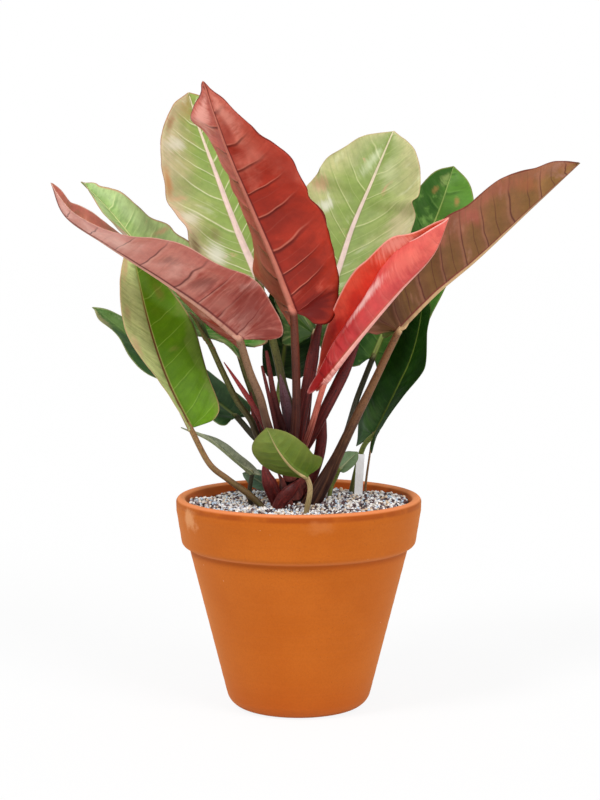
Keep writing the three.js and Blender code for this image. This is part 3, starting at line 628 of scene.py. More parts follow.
# The leaves, in mm, as in the CAD: each rib runs from the petiole to the tip, and the upper side
# looks to face at the foot and at the tip. Half, fold and curl have one entry for each half: its
# width, and its angles at the foot and at the tip. A bulge is a half, a place along the rib and a
# spread, then the share that it widens and the degrees that it bends. A patch of colour is given
# as reach, place along the rib, half width, half height, share and colour. What a leaf leaves out
# is as in usualLeaf, and what under and upper leave out is as in faceSockets.
leaves = {
    "tallRed": {
        "node": "tall_red", "slot": "red_leaf", "stalkSlot": "brown_petiole", "stalk": "brown",
        "veins": 10.0, "veinSweep": 22, "veinHeight": 1.1, "pucker": 1.3, "folds": 7.0,
        "girth": [6.5, 5.2],
        "rib": [
            [-7, -78, 537], [-32, -102, 604], [-59, -130, 671], [-89, -164, 746], [-117, -190, 829],
        ],
        "face": [[0.47, 0.75, 0.46], [0.71, 0.53, 0.47]], "half": [82, 93],
        "fold": [[52, 2], [36, 2]], "curl": [[2, 1], [15, 49]],
        "widest": 0.42, "lobe": 0.09, "taper": 0.83, "wave": [3.5, 3, 3],
        "petiole": [[-10, -16, 318], [-6, -30, 364], [-3, -44, 424], [-5, -66, 501]],
        "bulges": [
            [0, 0.77, 0.035, -0.1, 0], [0, 0.65, 0.06, 0.06, 0], [0, 0.45, 0.035, -0.05, 0],
            [0, 0.34, 0.06, 0.04, 0], [1, 0.86, 0.07, 0.12, -16], [1, 0.965, 0.03, -0.4, 0],
            [1, 0.1, 0.09, 0.3, -9], [0, 0.97, 0.03, -0.3, 0], [1, 0.45, 0.2, -0.14, 0],
        ],
        "patches": [
            [-0.45, 0.87, 0.36, 0.1, 0.75, (232, 148, 130)],
            [-0.5, 0.68, 0.3, 0.05, 0.4, (214, 116, 98)],
            [-0.25, 0.8, 0.14, 0.1, 0.5, (150, 48, 34)], [-0.8, 0.6, 0.2, 0.14, 0.4, (150, 36, 24)],
            [0.6, 0.86, 0.4, 0.1, 0.9, (250, 176, 160)], [0.5, 0.2, 0.5, 0.2, 0.35, (196, 110, 92)],
            [-0.5, 0.0, 0.7, 0.04, 0.85, (104, 22, 18)],
        ],
        "under": {
            "Foot": (146, 42, 28), "Middle": (184, 54, 34), "Tip": (228, 136, 114),
            "Inner": (140, 42, 30), "Inner Share": 0.35, "Outer": (204, 64, 40), "Outer Share": 0.5,
            "Blotch": (206, 98, 78), "Blotch Level": 0.56, "Vein": (214, 122, 100),
            "Vein Share": 0.75, "Vein Reach": 0.9, "Vein Width": 0.042, "Vein Shading": (84, 20, 16),
            "Vein Shading Share": 0.7, "Between": (160, 42, 26), "Between Share": 0.3,
            "Minor Share": 0.15, "Rib": (206, 124, 104), "Rib Width": 5.0, "Rib Line": (96, 22, 20),
            "Rib Line Share": 0.8, "Edge": (100, 20, 18), "Side": (216, 124, 106),
            "Side Share": 0.7,
        },
        "upper": {
            "Foot": (128, 40, 26), "Middle": (144, 56, 30), "Tip": (140, 66, 34),
            "Blotch": (160, 84, 48), "Blotch Level": 0.6, "Vein": (176, 88, 62),
            "Rib": (196, 108, 78), "Edge": (104, 26, 20),
        },
    },
    "leftCopper": {
        "node": "left_copper", "slot": "copper_leaf", "stalkSlot": "brown_petiole", "stalk": "fawn",
        "veins": 9.0, "veinSweep": 8, "veinBow": 0.45, "veinHeight": 1.0, "pucker": 1.2,
        "folds": 5.0, "girth": [6.5, 5],
        "rib": [
            [-77, -76, 503], [-124, -102, 545], [-175, -134, 584], [-241, -170, 630],
            [-287, -190, 664], [-304, -195, 705],
        ],
        "face": [[0.08, 0.81, 0.57], [0.69, -0.09, 0.72]], "half": [89, 82],
        "fold": [[5, 20], [42, 26]], "curl": [[1, 1], [5, 8]],
        "widest": 0.29, "lobe": 0.09, "taper": 0.6, "wave": [5.1, 4, 0.1],
        "petiole": [[-19, -15, 322], [-41, -36, 385], [-51, -46, 424], [-64, -57, 458]],
        "bulges": [[0, 0.86, 0.1, -0.45, 0], [1, 0.78, 0.16, -0.3, 0], [0, 0.02, 0.1, -0.12, 0]],
        "patches": [
            [-0.4, 0.3, 0.3, 0.06, 0.5, (112, 64, 62)],
            [-0.5, 0.47, 0.2, 0.04, 0.45, (122, 78, 74)],
            [-0.6, 0.08, 0.75, 0.2, 0.8, (134, 54, 46)],
            [-0.3, 0.66, 0.4, 0.1, 0.4, (234, 188, 172)],
            [-0.85, 0.3, 0.2, 0.1, 0.4, (180, 84, 74)],
            [-0.3, 0.16, 0.2, 0.05, 0.4, (206, 136, 120)],
        ],
        "under": {
            "Foot": (170, 62, 50), "Middle": (196, 118, 104), "Tip": (236, 180, 164),
            "Inner": (160, 92, 82), "Inner Share": 0.35, "Outer": (196, 108, 96),
            "Outer Share": 0.4, "Blotch": (214, 150, 136), "Blotch Level": 0.52,
            "Vein": (92, 38, 38), "Vein Share": 0.85, "Vein Reach": 1.2, "Vein Width": 0.04,
            "Vein Shading": (228, 170, 154), "Vein Shading Share": 0.45, "Between": (216, 148, 132),
            "Between Share": 0.35, "Minor Share": 0.12, "Rib": (216, 160, 138),
            "Rib Line": (96, 36, 36), "Rib Line Share": 0.8, "Edge": (228, 180, 160),
        },
        "upper": {
            "Foot": (96, 80, 38), "Middle": (160, 88, 72), "Tip": (214, 120, 104),
            "Blotch": (226, 160, 142), "Blotch Level": 0.56, "Vein": (200, 130, 110),
            "Rib": (186, 138, 108), "Edge": (228, 180, 160), "Edge Width": 2.4,
        },
    },
    "backLeftPale": {
        "node": "back_left_pale", "slot": "pale_leaf", "stalkSlot": "green_petiole",
        "stalk": "olive",
        "veins": 9.0, "veinSweep": 44, "veinBow": 0.25, "veinHeight": 0.4, "pucker": 0.5,
        "girth": [6.5, 5],
        "rib": [
            [-55, 44, 577], [-83, 72, 638], [-113, 106, 714], [-140, 136, 784], [-154, 152, 830],
        ],
        "face": [[-0.08, -0.93, 0.37], [0.08, -0.91, 0.42]], "half": [82, 82],
        "fold": [[9, 30], [12, 23]], "curl": [[16, 13], [5, 5]],
        "widest": 0.55, "lobe": 0.08, "taper": 0.88, "wave": [2.3, 4, 0.1],
        "petiole": [[-11, 11, 340], [-12, 22, 399], [-21, 28, 433], [-32, 35, 480], [-42, 40, 520]],
        "bulges": [
            [1, 0.8, 0.14, -0.22, 0], [0, 0.96, 0.04, 0.2, 0], [0, 0.3, 0.05, -0.04, 6],
            [0, 0.47, 0.06, 0.04, -6],
        ],
        "patches": [
            [-0.9, 0.19, 0.14, 0.1, 0.9, (120, 92, 60)],
            [-0.55, 0.17, 0.26, 0.08, 0.75, (226, 222, 204)],
            [-0.4, 0.26, 0.14, 0.05, 0.5, (134, 112, 76)],
            [-0.75, 0.36, 0.28, 0.05, 0.6, (226, 216, 196)],
            [-0.93, 0.55, 0.1, 0.1, 0.9, (196, 140, 88)],
            [-0.8, 0.47, 0.2, 0.02, 0.6, (206, 158, 118)],
            [-0.75, 0.73, 0.26, 0.05, 0.65, (226, 216, 196)],
            [-0.5, 0.93, 0.6, 0.09, 0.7, (172, 144, 84)],
            [-0.9, 0.84, 0.1, 0.06, 0.7, (160, 112, 70)],
            [-0.95, 0.36, 0.08, 0.1, 0.7, (226, 176, 150)],
            [-0.6, 0.62, 0.3, 0.06, 0.5, (190, 178, 124)],
        ],
        "under": {
            "Foot": (140, 144, 84), "Middle": (160, 156, 100), "Tip": (168, 160, 106),
            "Vein": (180, 170, 120), "Rib": (190, 168, 126), "Edge": (150, 100, 72),
            "Blotch": (196, 178, 136), "Blotch Level": 0.56,
        },
        "upper": {
            "Foot": (160, 168, 98), "Middle": (158, 170, 96), "Tip": (176, 168, 104),
            "Inner": (142, 166, 80), "Inner Share": 0.8, "Inner End": 0.5, "Outer": (206, 184, 148),
            "Outer Share": 0.9, "Outer Side": -1.0, "Outer Start": 0.34, "Side": (134, 168, 70),
            "Side Share": 0.7, "Blotch": (232, 228, 206), "Blotch Level": 0.54, "Blotch Side": -1.0,
            "Blotch Softness": 0.22, "Cloud": (204, 160, 128), "Cloud Level": 0.62,
            "Cloud Side": -1.0, "Vein": (222, 220, 176), "Vein Share": 0.8, "Vein Width": 0.05,
            "Vein Reach": 1.1, "Vein Shading": (112, 138, 60), "Vein Shading Share": 0.4,
            "Between": (128, 150, 70), "Between Share": 0.3, "Rib": (240, 210, 202),
            "Rib Width": 6.4, "Rib Line": (150, 150, 92), "Edge": (180, 112, 84), "Edge Width": 1.2,
        },
    },
    "backRightPale": {
        "node": "back_right_pale", "slot": "pale_leaf", "stalkSlot": "maroon_sheath",
        "stalk": "maroon",
        "veins": 10.0, "veinSweep": 44, "veinBow": 0.3, "veinHeight": 0.4, "pucker": 0.5,
        "girth": [6.5, 5],
        "rib": [[22, 64, 498], [55, 96, 586], [75, 118, 644], [103, 142, 708], [133, 162, 777]],
        "face": [[-0.05, -0.94, 0.35], [-0.29, -0.86, 0.42]], "half": [85, 94],
        "fold": [[11, -5], [8, 13]], "curl": [[8, 1], [6, 28]],
        "widest": 0.57, "lobe": 0.08, "taper": 0.6, "wave": [2.8, 4, -1],
        "petiole": [[1, 8, 326], [8, 28, 371], [15, 48, 437]],
        "bulges": [
            [0, -0.03, 0.08, -0.3, 0], [1, -0.03, 0.08, -0.3, 0], [0, 0.7, 0.035, -0.07, 8],
            [1, 0.66, 0.03, -0.05, 6], [0, 0.8, 0.04, 0.03, 0],
        ],
        "patches": [
            [-0.9, 0.42, 0.12, 0.1, 0.8, (150, 110, 80)],
            [-0.85, 0.66, 0.18, 0.05, 0.7, (214, 172, 136)],
            [-0.6, 0.58, 0.14, 0.04, 0.7, (232, 230, 212)],
            [-0.7, 0.5, 0.1, 0.06, 0.6, (134, 138, 74)],
            [-0.3, 0.84, 0.2, 0.1, 0.5, (222, 230, 190)],
            [0.8, 0.55, 0.3, 0.12, 0.5, (226, 208, 170)],
            [0.94, 0.5, 0.14, 0.02, 0.9, (250, 180, 168)],
            [0.75, 0.45, 0.2, 0.01, 0.8, (240, 176, 160)],
            [0.6, 0.24, 0.34, 0.06, 0.7, (232, 238, 216)],
            [0.92, 0.3, 0.1, 0.1, 0.7, (172, 132, 98)], [0.4, 0.8, 0.3, 0.1, 0.4, (208, 212, 164)],
            [0.0, -0.02, 4.0, 0.22, 1.0, (44, 72, 16)],
        ],
        "under": {
            "Foot": (140, 154, 84), "Middle": (152, 162, 92), "Tip": (160, 160, 98),
            "Vein": (176, 176, 122), "Rib": (194, 176, 134), "Edge": (170, 136, 100),
        },
        "upper": {
            "Foot": (112, 150, 56), "Middle": (164, 176, 106), "Tip": (186, 194, 134),
            "Inner": (134, 158, 76), "Inner Share": 0.7, "Inner End": 0.55,
            "Outer": (206, 196, 144), "Outer Share": 0.6, "Outer Start": 0.4,
            "Side": (136, 152, 76), "Side Share": 0.4, "Side Sign": -1.0, "Blotch": (216, 220, 180),
            "Blotch Level": 0.54, "Blotch Softness": 0.2, "Vein": (214, 216, 156),
            "Vein Share": 0.6, "Vein Reach": 1.1, "Vein Width": 0.04, "Vein Shading": (116, 140, 62),
            "Vein Shading Share": 0.4, "Between": (128, 150, 70), "Between Share": 0.35,
            "Cloud": (200, 160, 118), "Cloud Level": 0.64, "Rib": (240, 212, 204), "Rib Width": 6.4,
            "Edge": (206, 176, 134), "Edge Width": 1.2,
        },
    },
    "farRightGreen": {
        "node": "far_right_green", "slot": "green_leaf", "stalkSlot": "green_petiole",
        "stalk": "dark",
        "veins": 11.0, "veinHeight": 0.3, "girth": [5, 4],
        "rib": [
            [103, 112, 462], [131, 134, 525], [162, 158, 588], [196, 180, 659], [220, 196, 728],
        ],
        "face": [[0.16, -0.96, 0.23], [0.18, -0.96, 0.22]], "half": [53, 57],
        "fold": [[12, 21], [13, 21]], "curl": [[8, 9], [8, 8]],
        "widest": 0.62, "lobe": 0.07, "taper": 0.6, "wave": [2.5, 3, 1.5],
        "petiole": [[2, 9, 284], [36, 36, 304], [63, 68, 355], [81, 98, 407]],
        "patches": [
            [-0.5, 0.86, 0.16, 0.03, 0.6, (170, 128, 70)],
            [0.5, 0.84, 0.12, 0.03, 0.6, (190, 128, 76)],
            [-0.3, 0.93, 0.4, 0.04, 0.5, (170, 184, 110)],
            [-0.95, 0.66, 0.1, 0.12, 0.8, (90, 64, 22)],
            [0.3, 0.62, 0.3, 0.05, 0.5, (150, 186, 100)], [0.5, 0.55, 0.2, 0.02, 0.6, (40, 84, 20)],
        ],
        "under": {
            "Foot": (86, 108, 50), "Middle": (94, 120, 56), "Tip": (102, 124, 60),
            "Vein": (120, 140, 76), "Rib": (146, 142, 86), "Edge": (110, 110, 56),
        },
        "upper": {
            "Foot": (46, 92, 26), "Middle": (80, 136, 38), "Tip": (92, 140, 46),
            "Side": (38, 84, 14), "Side Share": 0.85, "Side Sign": -1.0, "Inner": (110, 156, 62),
            "Inner Share": 0.4, "Blotch": (124, 166, 78), "Blotch Level": 0.56,
            "Vein": (130, 168, 84), "Vein Share": 0.3, "Vein Shading": (30, 70, 16), "Vein Shading Share": 0.5,
            "Rib": (168, 184, 98), "Rib Width": 3.6, "Edge": (140, 140, 70),
        },
    },
    "newRed": {
        "node": "new_red", "slot": "new_leaf", "stalkSlot": "pink_petiole", "stalk": "pink",
        "veins": 11.0, "veinHeight": 0.15, "pucker": 0.2, "folds": 2.0, "girth": [4.8, 3.8],
        "rib": [
            [34, -70, 446], [84, -96, 513], [129, -120, 569], [169, -141, 615], [188, -154, 662],
        ],
        "face": [[-0.7, 0.34, 0.63], [-0.77, -0.52, 0.36]], "half": [65, 57],
        "fold": [[1, 66], [73, 55]], "curl": [[108, 26], [170, 147]],
        "widest": 0.46, "lobe": 0.09, "taper": 0.75, "wave": [3, 3, 1.7],
        "petiole": [[1, -10, 336], [15, -40, 379]],
        "bulges": [[1, -0.04, 0.3, -0.68, 0]],
        "patches": [
            [-0.85, 0.74, 0.26, 0.16, 0.7, (255, 166, 150)],
            [-0.5, 0.1, 0.7, 0.1, 0.5, (160, 14, 12)],
            # the whitish patch below paints the glossy highlight along the crest of the rolled half
            [0.55, 0.44, 0.16, 0.2, 0.75, (255, 214, 206)],
            [0.5, 0.7, 0.4, 0.16, 0.5, (250, 128, 110)], [0.6, 0.0, 0.9, 0.16, 0.9, (150, 16, 16)],
            [0.6, 0.09, 0.6, 0.012, 0.8, (120, 8, 12)], [0.6, 0.18, 0.6, 0.01, 0.8, (146, 16, 20)],
            [0.6, 0.02, 0.6, 0.01, 0.8, (120, 8, 12)], [0.5, 0.27, 0.5, 0.008, 0.7, (160, 30, 34)],
        ],
        "under": {
            "Foot": (150, 26, 26), "Middle": (212, 84, 80), "Tip": (244, 116, 100),
            "Outer": (226, 92, 92), "Outer Share": 0.3, "Blotch": (255, 170, 160),
            "Blotch Level": 0.62, "Vein": (190, 52, 52), "Vein Share": 0.3, "Vein Width": 0.04,
            "Vein Shading Share": 0.05, "Vein Shading": (255, 176, 168), "Minor Share": 0.2,
            "Between": (206, 60, 64), "Between Share": 0.35, "Rib": (248, 178, 166),
            "Rib Width": 3.2, "Edge": (255, 200, 190),
        },
        "upper": {
            "Foot": (170, 20, 12), "Middle": (226, 54, 28), "Tip": (232, 84, 52),
            "Inner": (160, 20, 12), "Inner Share": 0.85, "Inner End": 0.55, "Outer": (240, 112, 84),
            "Outer Share": 0.35, "Outer Start": 0.6, "Blotch": (240, 104, 74), "Blotch Level": 0.6,
            "Vein": (240, 104, 78), "Vein Share": 0.2, "Vein Shading": (170, 30, 16),
            "Vein Shading Share": 0.15, "Between": (204, 38, 18), "Between Share": 0.3,
            "Minor Share": 0.15, "Rib": (234, 120, 100), "Edge": (250, 176, 160), "Edge Width": 2.2,
        },
    },
    "rightBrown": {
        "node": "right_brown", "slot": "brown_leaf", "stalkSlot": "brown_petiole", "stalk": "tan",
        "veins": 9.0, "veinSweep": 34, "veinBow": 0.3, "veinHeight": 1.1, "ribHeight": 2.6,
        "ribWidth": 4.0, "pucker": 1.2, "folds": 5.0, "girth": [9, 4.6], "swell": 5,
        "rib": [
            [131, -54, 512], [178, -69, 562], [230, -86, 608], [295, -108, 672], [355, -124, 730],
        ],
        "face": [[-0.53, 0.47, 0.7], [-0.66, 0.18, 0.73]], "half": [76, 77],
        "fold": [[42, 42], [36, 41]], "curl": [[5, 5], [5, 2]],
        "widest": 0.45, "lobe": 0.08, "taper": 0.63, "wave": [3.2, 4, 2.2],
        "petiole": [[14, -12, 272], [42, -20, 323], [71, -36, 386], [94, -46, 434]],
        "patches": [
            [0.75, 0.56, 0.3, 0.05, 0.5, (190, 96, 84)],
            [0.8, 0.4, 0.26, 0.04, 0.5, (186, 104, 88)], [0.4, 0.03, 0.8, 0.13, 0.5, (74, 44, 24)],
            [0.6, 0.8, 0.3, 0.05, 0.5, (180, 100, 66)], [0.85, 0.7, 0.16, 0.14, 0.4, (176, 96, 74)],
        ],
        "under": {
            "Foot": (106, 66, 38), "Middle": (138, 92, 58), "Tip": (158, 112, 60),
            "Outer": (172, 98, 80), "Outer Share": 0.55, "Blotch": (172, 120, 96),
            "Blotch Level": 0.55, "Vein": (86, 34, 32), "Vein Share": 0.85, "Vein Reach": 1.2,
            "Vein Width": 0.038, "Vein Shading": (180, 122, 98), "Vein Shading Share": 0.4,
            "Between": (128, 92, 46), "Between Share": 0.55, "Minor Share": 0.75,
            "Rib": (214, 176, 128), "Rib Width": 3.6, "Rib Line": (130, 54, 50),
            "Rib Line Share": 0.8, "Edge": (110, 34, 32),
        },
        "upper": {
            "Foot": (84, 100, 38), "Middle": (98, 108, 44), "Tip": (118, 92, 46),
            "Blotch": (130, 98, 60), "Blotch Level": 0.6, "Vein": (134, 128, 70),
            "Rib": (168, 138, 88), "Edge": (110, 46, 32),
        },
    },
    "rightDark": {
        "node": "right_dark", "slot": "dark_leaf", "stalkSlot": "green_petiole", "stalk": "green",
        "veins": 12.0, "veinHeight": 0.4, "pucker": 0.5, "shine": 0.1, "girth": [4.5, 3.6],
        "rib": [[103, 56, 361], [133, 64, 421], [154, 72, 465], [167, 80, 514], [172, 88, 565]],
        "face": [[-0.87, -0.35, 0.35], [-0.84, -0.42, 0.35]], "half": [49, 50],
        "fold": [[4, 20], [13, -1]], "curl": [[4, 5], [1, 1]],
        "widest": 0.38, "lobe": 0.1, "taper": 1.24, "wave": [6, 3, 0.4],
        "petiole": [[66, 46, 232], [72, 50, 280], [87, 54, 341]],
        "bulges": [[0, 0.02, 0.16, 0.4, 0]],
        # the two patches below paint a glossy reflection on the lower part of the blade
        "patches": [
            [-0.4, 0.1, 0.5, 0.14, 0.4, (96, 128, 70)], [0.5, 0.2, 0.4, 0.14, 0.3, (70, 112, 44)],
        ],
        "under": {
            "Foot": (46, 72, 24), "Middle": (52, 78, 28), "Tip": (48, 74, 26), "Vein": (74, 98, 42),
            "Rib": (110, 114, 56), "Edge": (68, 74, 30),
        },
        "upper": {
            "Foot": (50, 92, 34), "Middle": (26, 62, 8), "Tip": (16, 48, 2), "Outer": (30, 66, 12),
            "Outer Share": 0.4, "Vein": (40, 76, 20), "Vein Share": 0.3, "Vein Shading Share": 0.1,
            "Between": (6, 28, 1), "Between Share": 0.15, "Minor Share": 0.1, "Streak Share": 0.12,
            "Rib": (110, 136, 46), "Edge": (70, 90, 30), "Rib Width": 2.6,
        },
    },
    "leftGreen": {
        "node": "left_green", "slot": "green_leaf", "stalkSlot": "green_petiole", "stalk": "moss",
        "veins": 9.0, "veinSweep": 34, "veinBow": 0.3, "veinHeight": 0.3, "pucker": 0.5,
        "shine": 0.15, "girth": [5, 3.8],
        "rib": [
            [-143, -45, 383], [-169, -39, 435], [-189, -31, 488], [-205, -19, 544], [-218, -4, 600],
            [-227, 7, 631],
        ],
        "face": [[0.54, -0.75, 0.37], [0.5, -0.79, 0.36]], "half": [46, 60],
        "fold": [[48, 4], [16, 4]], "curl": [[6, 1], [9, 9]],
        "widest": 0.32, "lobe": 0.01, "taper": 0.96, "wave": [5.1, 3, 2.3],
        "petiole": [
            [-22, -34, 236], [-45, -38, 272], [-67, -39, 294], [-94, -40, 314], [-119, -42, 336],
        ],
        "bulges": [[0, 0.64, 0.2, 0.12, -12], [0, 0.2, 0.16, -0.32, 0]],
        "patches": [
            [0.7, 0.88, 0.3, 0.1, 0.5, (130, 88, 44)], [0.62, 0.7, 0.2, 0.06, 0.35, (128, 92, 48)],
            [-0.8, 0.86, 0.2, 0.12, 0.6, (202, 150, 116)],
            [-0.85, 0.45, 0.2, 0.08, 0.6, (206, 160, 130)],
            [-0.8, 0.62, 0.16, 0.05, 0.4, (200, 154, 120)],
            [0.4, 0.4, 0.16, 0.02, 0.3, (150, 140, 70)],
        ],
        "under": {
            "Foot": (150, 168, 88), "Middle": (172, 184, 108), "Tip": (140, 160, 78),
            "Outer": (204, 188, 148), "Outer Share": 0.6, "Outer Start": 0.55,
            "Vein": (188, 198, 132), "Rib": (150, 106, 70), "Rib Width": 3.0,
            "Edge": (206, 160, 130), "Edge Width": 2.4,
        },
        "upper": {
            "Foot": (98, 140, 18), "Middle": (86, 126, 8), "Tip": (86, 112, 14),
            "Inner": (76, 114, 4), "Inner Share": 0.3, "Inner End": 0.5, "Vein": (160, 190, 80),
            "Vein Share": 0.35, "Vein Reach": 1.2, "Vein Width": 0.035, "Minor Share": 0.1,
            "Vein Shading": (60, 96, 6), "Vein Shading Share": 0.2, "Between": (70, 108, 6),
            "Between Share": 0.15, "Rib": (104, 52, 30), "Rib Width": 2.8,
            "Rib Line": (190, 184, 110), "Rib Line Share": 0.5, "Edge": (200, 160, 120),
            # the pale Side colour paints light on the left half, which is tilted towards the light
            "Edge Width": 2.0, "Side": (206, 218, 146), "Side Share": 1.0, "Side Sign": -1.0,
            "Outer": (150, 150, 90), "Outer Share": 0.25, "Outer Start": 0.75,
        },
    },
    "leftUpperGreen": {
        "node": "left_upper_green", "slot": "green_leaf", "stalkSlot": "green_petiole",
        "stalk": "olive",
        "veins": 10.0, "veinSweep": 30, "veinBow": 0.4, "pucker": 0.6, "folds": 6.0,
        "girth": [5, 4],
        "rib": [
            [-85, 40, 486], [-135, 60, 531], [-193, 84, 586], [-258, 110, 662], [-302, 128, 706],
        ],
        "face": [[0.48, -0.54, 0.69], [0.47, -0.55, 0.69]], "half": [63, 62],
        "fold": [[20, 31], [20, 23]], "curl": [[4, 21], [5, 2]],
        "widest": 0.34, "lobe": 0.07, "taper": 0.93, "wave": [8.5, 3, 3.4],
        "petiole": [[-18, 9, 334], [-50, 32, 371], [-58, 35, 405], [-72, 38, 445]],
        "bulges": [
            [0, 0.13, 0.08, 0.14, -15], [0, 0.95, 0.05, 1.5, 0], [1, 0.975, 0.025, 1.2, 0],
            [1, 0.64, 0.05, 0.17, 0],
        ],
        "patches": [
            [0.75, 0.62, 0.3, 0.022, 0.85, (206, 166, 126)],
            [0.8, 0.44, 0.3, 0.03, 0.85, (214, 176, 134)],
            [0.85, 0.32, 0.3, 0.02, 0.8, (200, 160, 118)],
            [-0.8, 0.6, 0.3, 0.2, 0.8, (222, 160, 140)],
            [0.4, 0.5, 0.12, 0.1, 0.5, (226, 236, 200)],
            [0.4, 0.34, 0.16, 0.03, 0.5, (60, 124, 24)], [0.0, 0.14, 1.4, 0.14, 0.7, (58, 124, 30)],
        ],
        "under": {
            "Foot": (110, 142, 60), "Middle": (126, 154, 72), "Tip": (140, 156, 80),
            "Vein": (156, 172, 96), "Rib": (168, 152, 96), "Edge": (190, 140, 106),
        },
        "upper": {
            "Foot": (60, 124, 28), "Middle": (186, 206, 138), "Tip": (186, 212, 146),
            "Inner": (150, 186, 92), "Inner Share": 0.55, "Inner End": 0.6,
            "Outer": (190, 206, 136), "Outer Share": 0.4, "Blotch": (200, 200, 140),
            "Blotch Level": 0.56, "Blotch Softness": 0.1, "Vein": (212, 224, 158),
            "Vein Share": 0.75, "Vein Reach": 1.1, "Vein Width": 0.045, "Vein Shading": (76, 126, 36),
            "Vein Shading Share": 0.45, "Rib": (206, 206, 140), "Edge": (206, 140, 116),
            "Edge Width": 2.4,
        },
    },
    "leftEdgeOn": {
        "node": "left_edge_on", "slot": "dark_leaf", "stalkSlot": "green_petiole", "stalk": "olive",
        "veins": 8.0, "veinHeight": 0.2, "pucker": 0.3, "rows": 60, "girth": [5, 3.8],
        "rib": [[-119, -22, 495], [-127, -20, 508], [-136, -18, 522], [-145, -16, 535]],
        "face": [[0.6, 0, 0.75], [0.6, -0.1, 0.75]], "half": [14, 14],
        "fold": [[15, 10], [11, 10]], "curl": [[5, 5], [5, 5]],
        "widest": 0.4, "lobe": 0.26, "wave": [1.2, 2, 0],
        "petiole": [
            [-21, -3, 332], [-52, -12, 363], [-64, -14, 390], [-82, -17, 416], [-101, -20, 455],
        ],
        "under": {
            "Foot": (66, 80, 30), "Middle": (70, 84, 34), "Tip": (96, 70, 46), "Vein": (90, 98, 50),
            "Rib": (116, 98, 60), "Edge": (140, 88, 70),
        },
        "upper": {
            "Foot": (50, 70, 24), "Middle": (60, 80, 28), "Tip": (104, 70, 50),
            "Vein": (84, 98, 46), "Rib": (116, 98, 60), "Edge": (146, 94, 74),
        },
    },
    "leftLowDark": {
        "node": "left_low_dark", "slot": "dark_leaf", "stalkSlot": "brown_petiole", "stalk": "dark",
        "veins": 11.0, "veinHeight": 0.4, "pucker": 0.5, "girth": [5, 4],
        "rib": [
            [-84, 22, 390], [-133, 48, 424], [-185, 76, 457], [-234, 102, 492], [-288, 124, 532],
        ],
        "face": [[0.43, -0.32, 0.84], [0.43, -0.31, 0.85]], "half": [57, 50],
        "fold": [[-4, 13], [3, 29]], "curl": [[1, 1], [1, 4]],
        "widest": 0.35, "lobe": 0.01, "taper": 0.94, "wave": [5.3, 3, 1.5],
        "petiole": [[-21, 3, 320], [-48, 10, 352], [-64, 14, 368]],
        "patches": [
            [0.2, 0.86, 0.9, 0.16, 0.75, (128, 160, 92)],
            [0.75, 0.7, 0.3, 0.2, 0.6, (196, 196, 156)],
            [-0.8, 0.9, 0.4, 0.12, 0.6, (190, 170, 130)],
        ],
        "under": {
            "Foot": (52, 84, 42), "Middle": (58, 90, 46), "Tip": (66, 94, 50),
            "Vein": (84, 110, 62), "Rib": (110, 114, 66), "Edge": (146, 146, 90),
        },
        "upper": {
            "Foot": (24, 66, 26), "Middle": (36, 84, 32), "Tip": (84, 128, 56),
            "Outer": (96, 130, 74), "Outer Share": 0.3, "Vein": (78, 120, 62),
            "Rib": (110, 132, 66), "Edge": (176, 182, 128), "Rib Width": 3.0, "Edge Width": 2.2,
        },
    },
    "frontSmall": {
        "node": "front_small", "slot": "green_leaf", "stalkSlot": "green_petiole", "stalk": "cream",
        "veins": 8.0, "veinHeight": 0.3, "pucker": 0.3, "rows": 110, "girth": [4.2, 3.4],
        "rib": [[10, -80, 323], [-9, -88, 338], [-27, -94, 362], [-41, -98, 390]],
        "face": [[0.28, 0.85, 0.44], [0.28, 0.85, 0.44]], "half": [38, 48],
        "fold": [[7, -5], [35, -5]], "curl": [[1, 1], [3, 4]],
        "widest": 0.43, "lobe": 0.02, "taper": 0.74, "wave": [1.3, 2, -0.5],
        "petiole": [[4, -60, 236], [10, -70, 275], [15, -76, 306]],
        "bulges": [[0, 0.03, 0.12, 0.18, 0]],
        "under": {
            "Foot": (98, 122, 34), "Middle": (114, 134, 48), "Tip": (132, 148, 66),
            "Vein": (144, 158, 86), "Rib": (196, 172, 120), "Edge": (120, 120, 60),
            "Outer": (130, 142, 66), "Outer Share": 0.4, "Rib Width": 2.6, "Vein Share": 0.25,
            "Vein Shading": (86, 106, 36), "Vein Shading Share": 0.15, "Rib Line": (84, 102, 36),
            "Rib Line Share": 0.6,
        },
        "upper": {
            "Foot": (60, 96, 32), "Middle": (70, 108, 38), "Tip": (70, 106, 38),
            "Vein": (98, 128, 58), "Rib": (140, 140, 78), "Edge": (84, 100, 40), "Rib Width": 2.4,
        },
    },
    "lowLeftNarrow": {
        "node": "low_left_narrow", "slot": "dark_leaf", "stalkSlot": "brown_petiole",
        "stalk": "dark",
        "veins": 7.0, "veinHeight": 0.2, "pucker": 0.2, "rows": 70, "girth": [4, 3],
        "rib": [[-63, 5, 316], [-85, 20, 331], [-121, 38, 356], [-161, 52, 372]],
        "face": [[0.1, 0.15, 1], [0.1, 0.15, 1]], "half": [20, 20],
        "fold": [[15, 10], [15, 10]], "curl": [[5, 5], [5, 5]],
        "widest": 0.38, "lobe": 0.06, "wave": [1, 2, 0],
        "petiole": [[-60, 2, 240], [-66, 2, 289]],
        "under": {
            "Foot": (150, 160, 118), "Middle": (160, 170, 128), "Tip": (170, 178, 140),
            "Vein": (160, 168, 130), "Rib": (150, 146, 104), "Edge": (190, 190, 150),
            "Rib Width": 2.0,
        },
        "upper": {
            "Foot": (28, 60, 28), "Middle": (40, 78, 36), "Tip": (80, 104, 60),
            "Vein": (60, 98, 50), "Rib": (150, 156, 110), "Edge": (176, 184, 140),
            "Edge Width": 2.4, "Rib Width": 2.0, "Side": (206, 210, 176), "Side Share": 0.9,
        },
    },
    "lowBackLeft": {
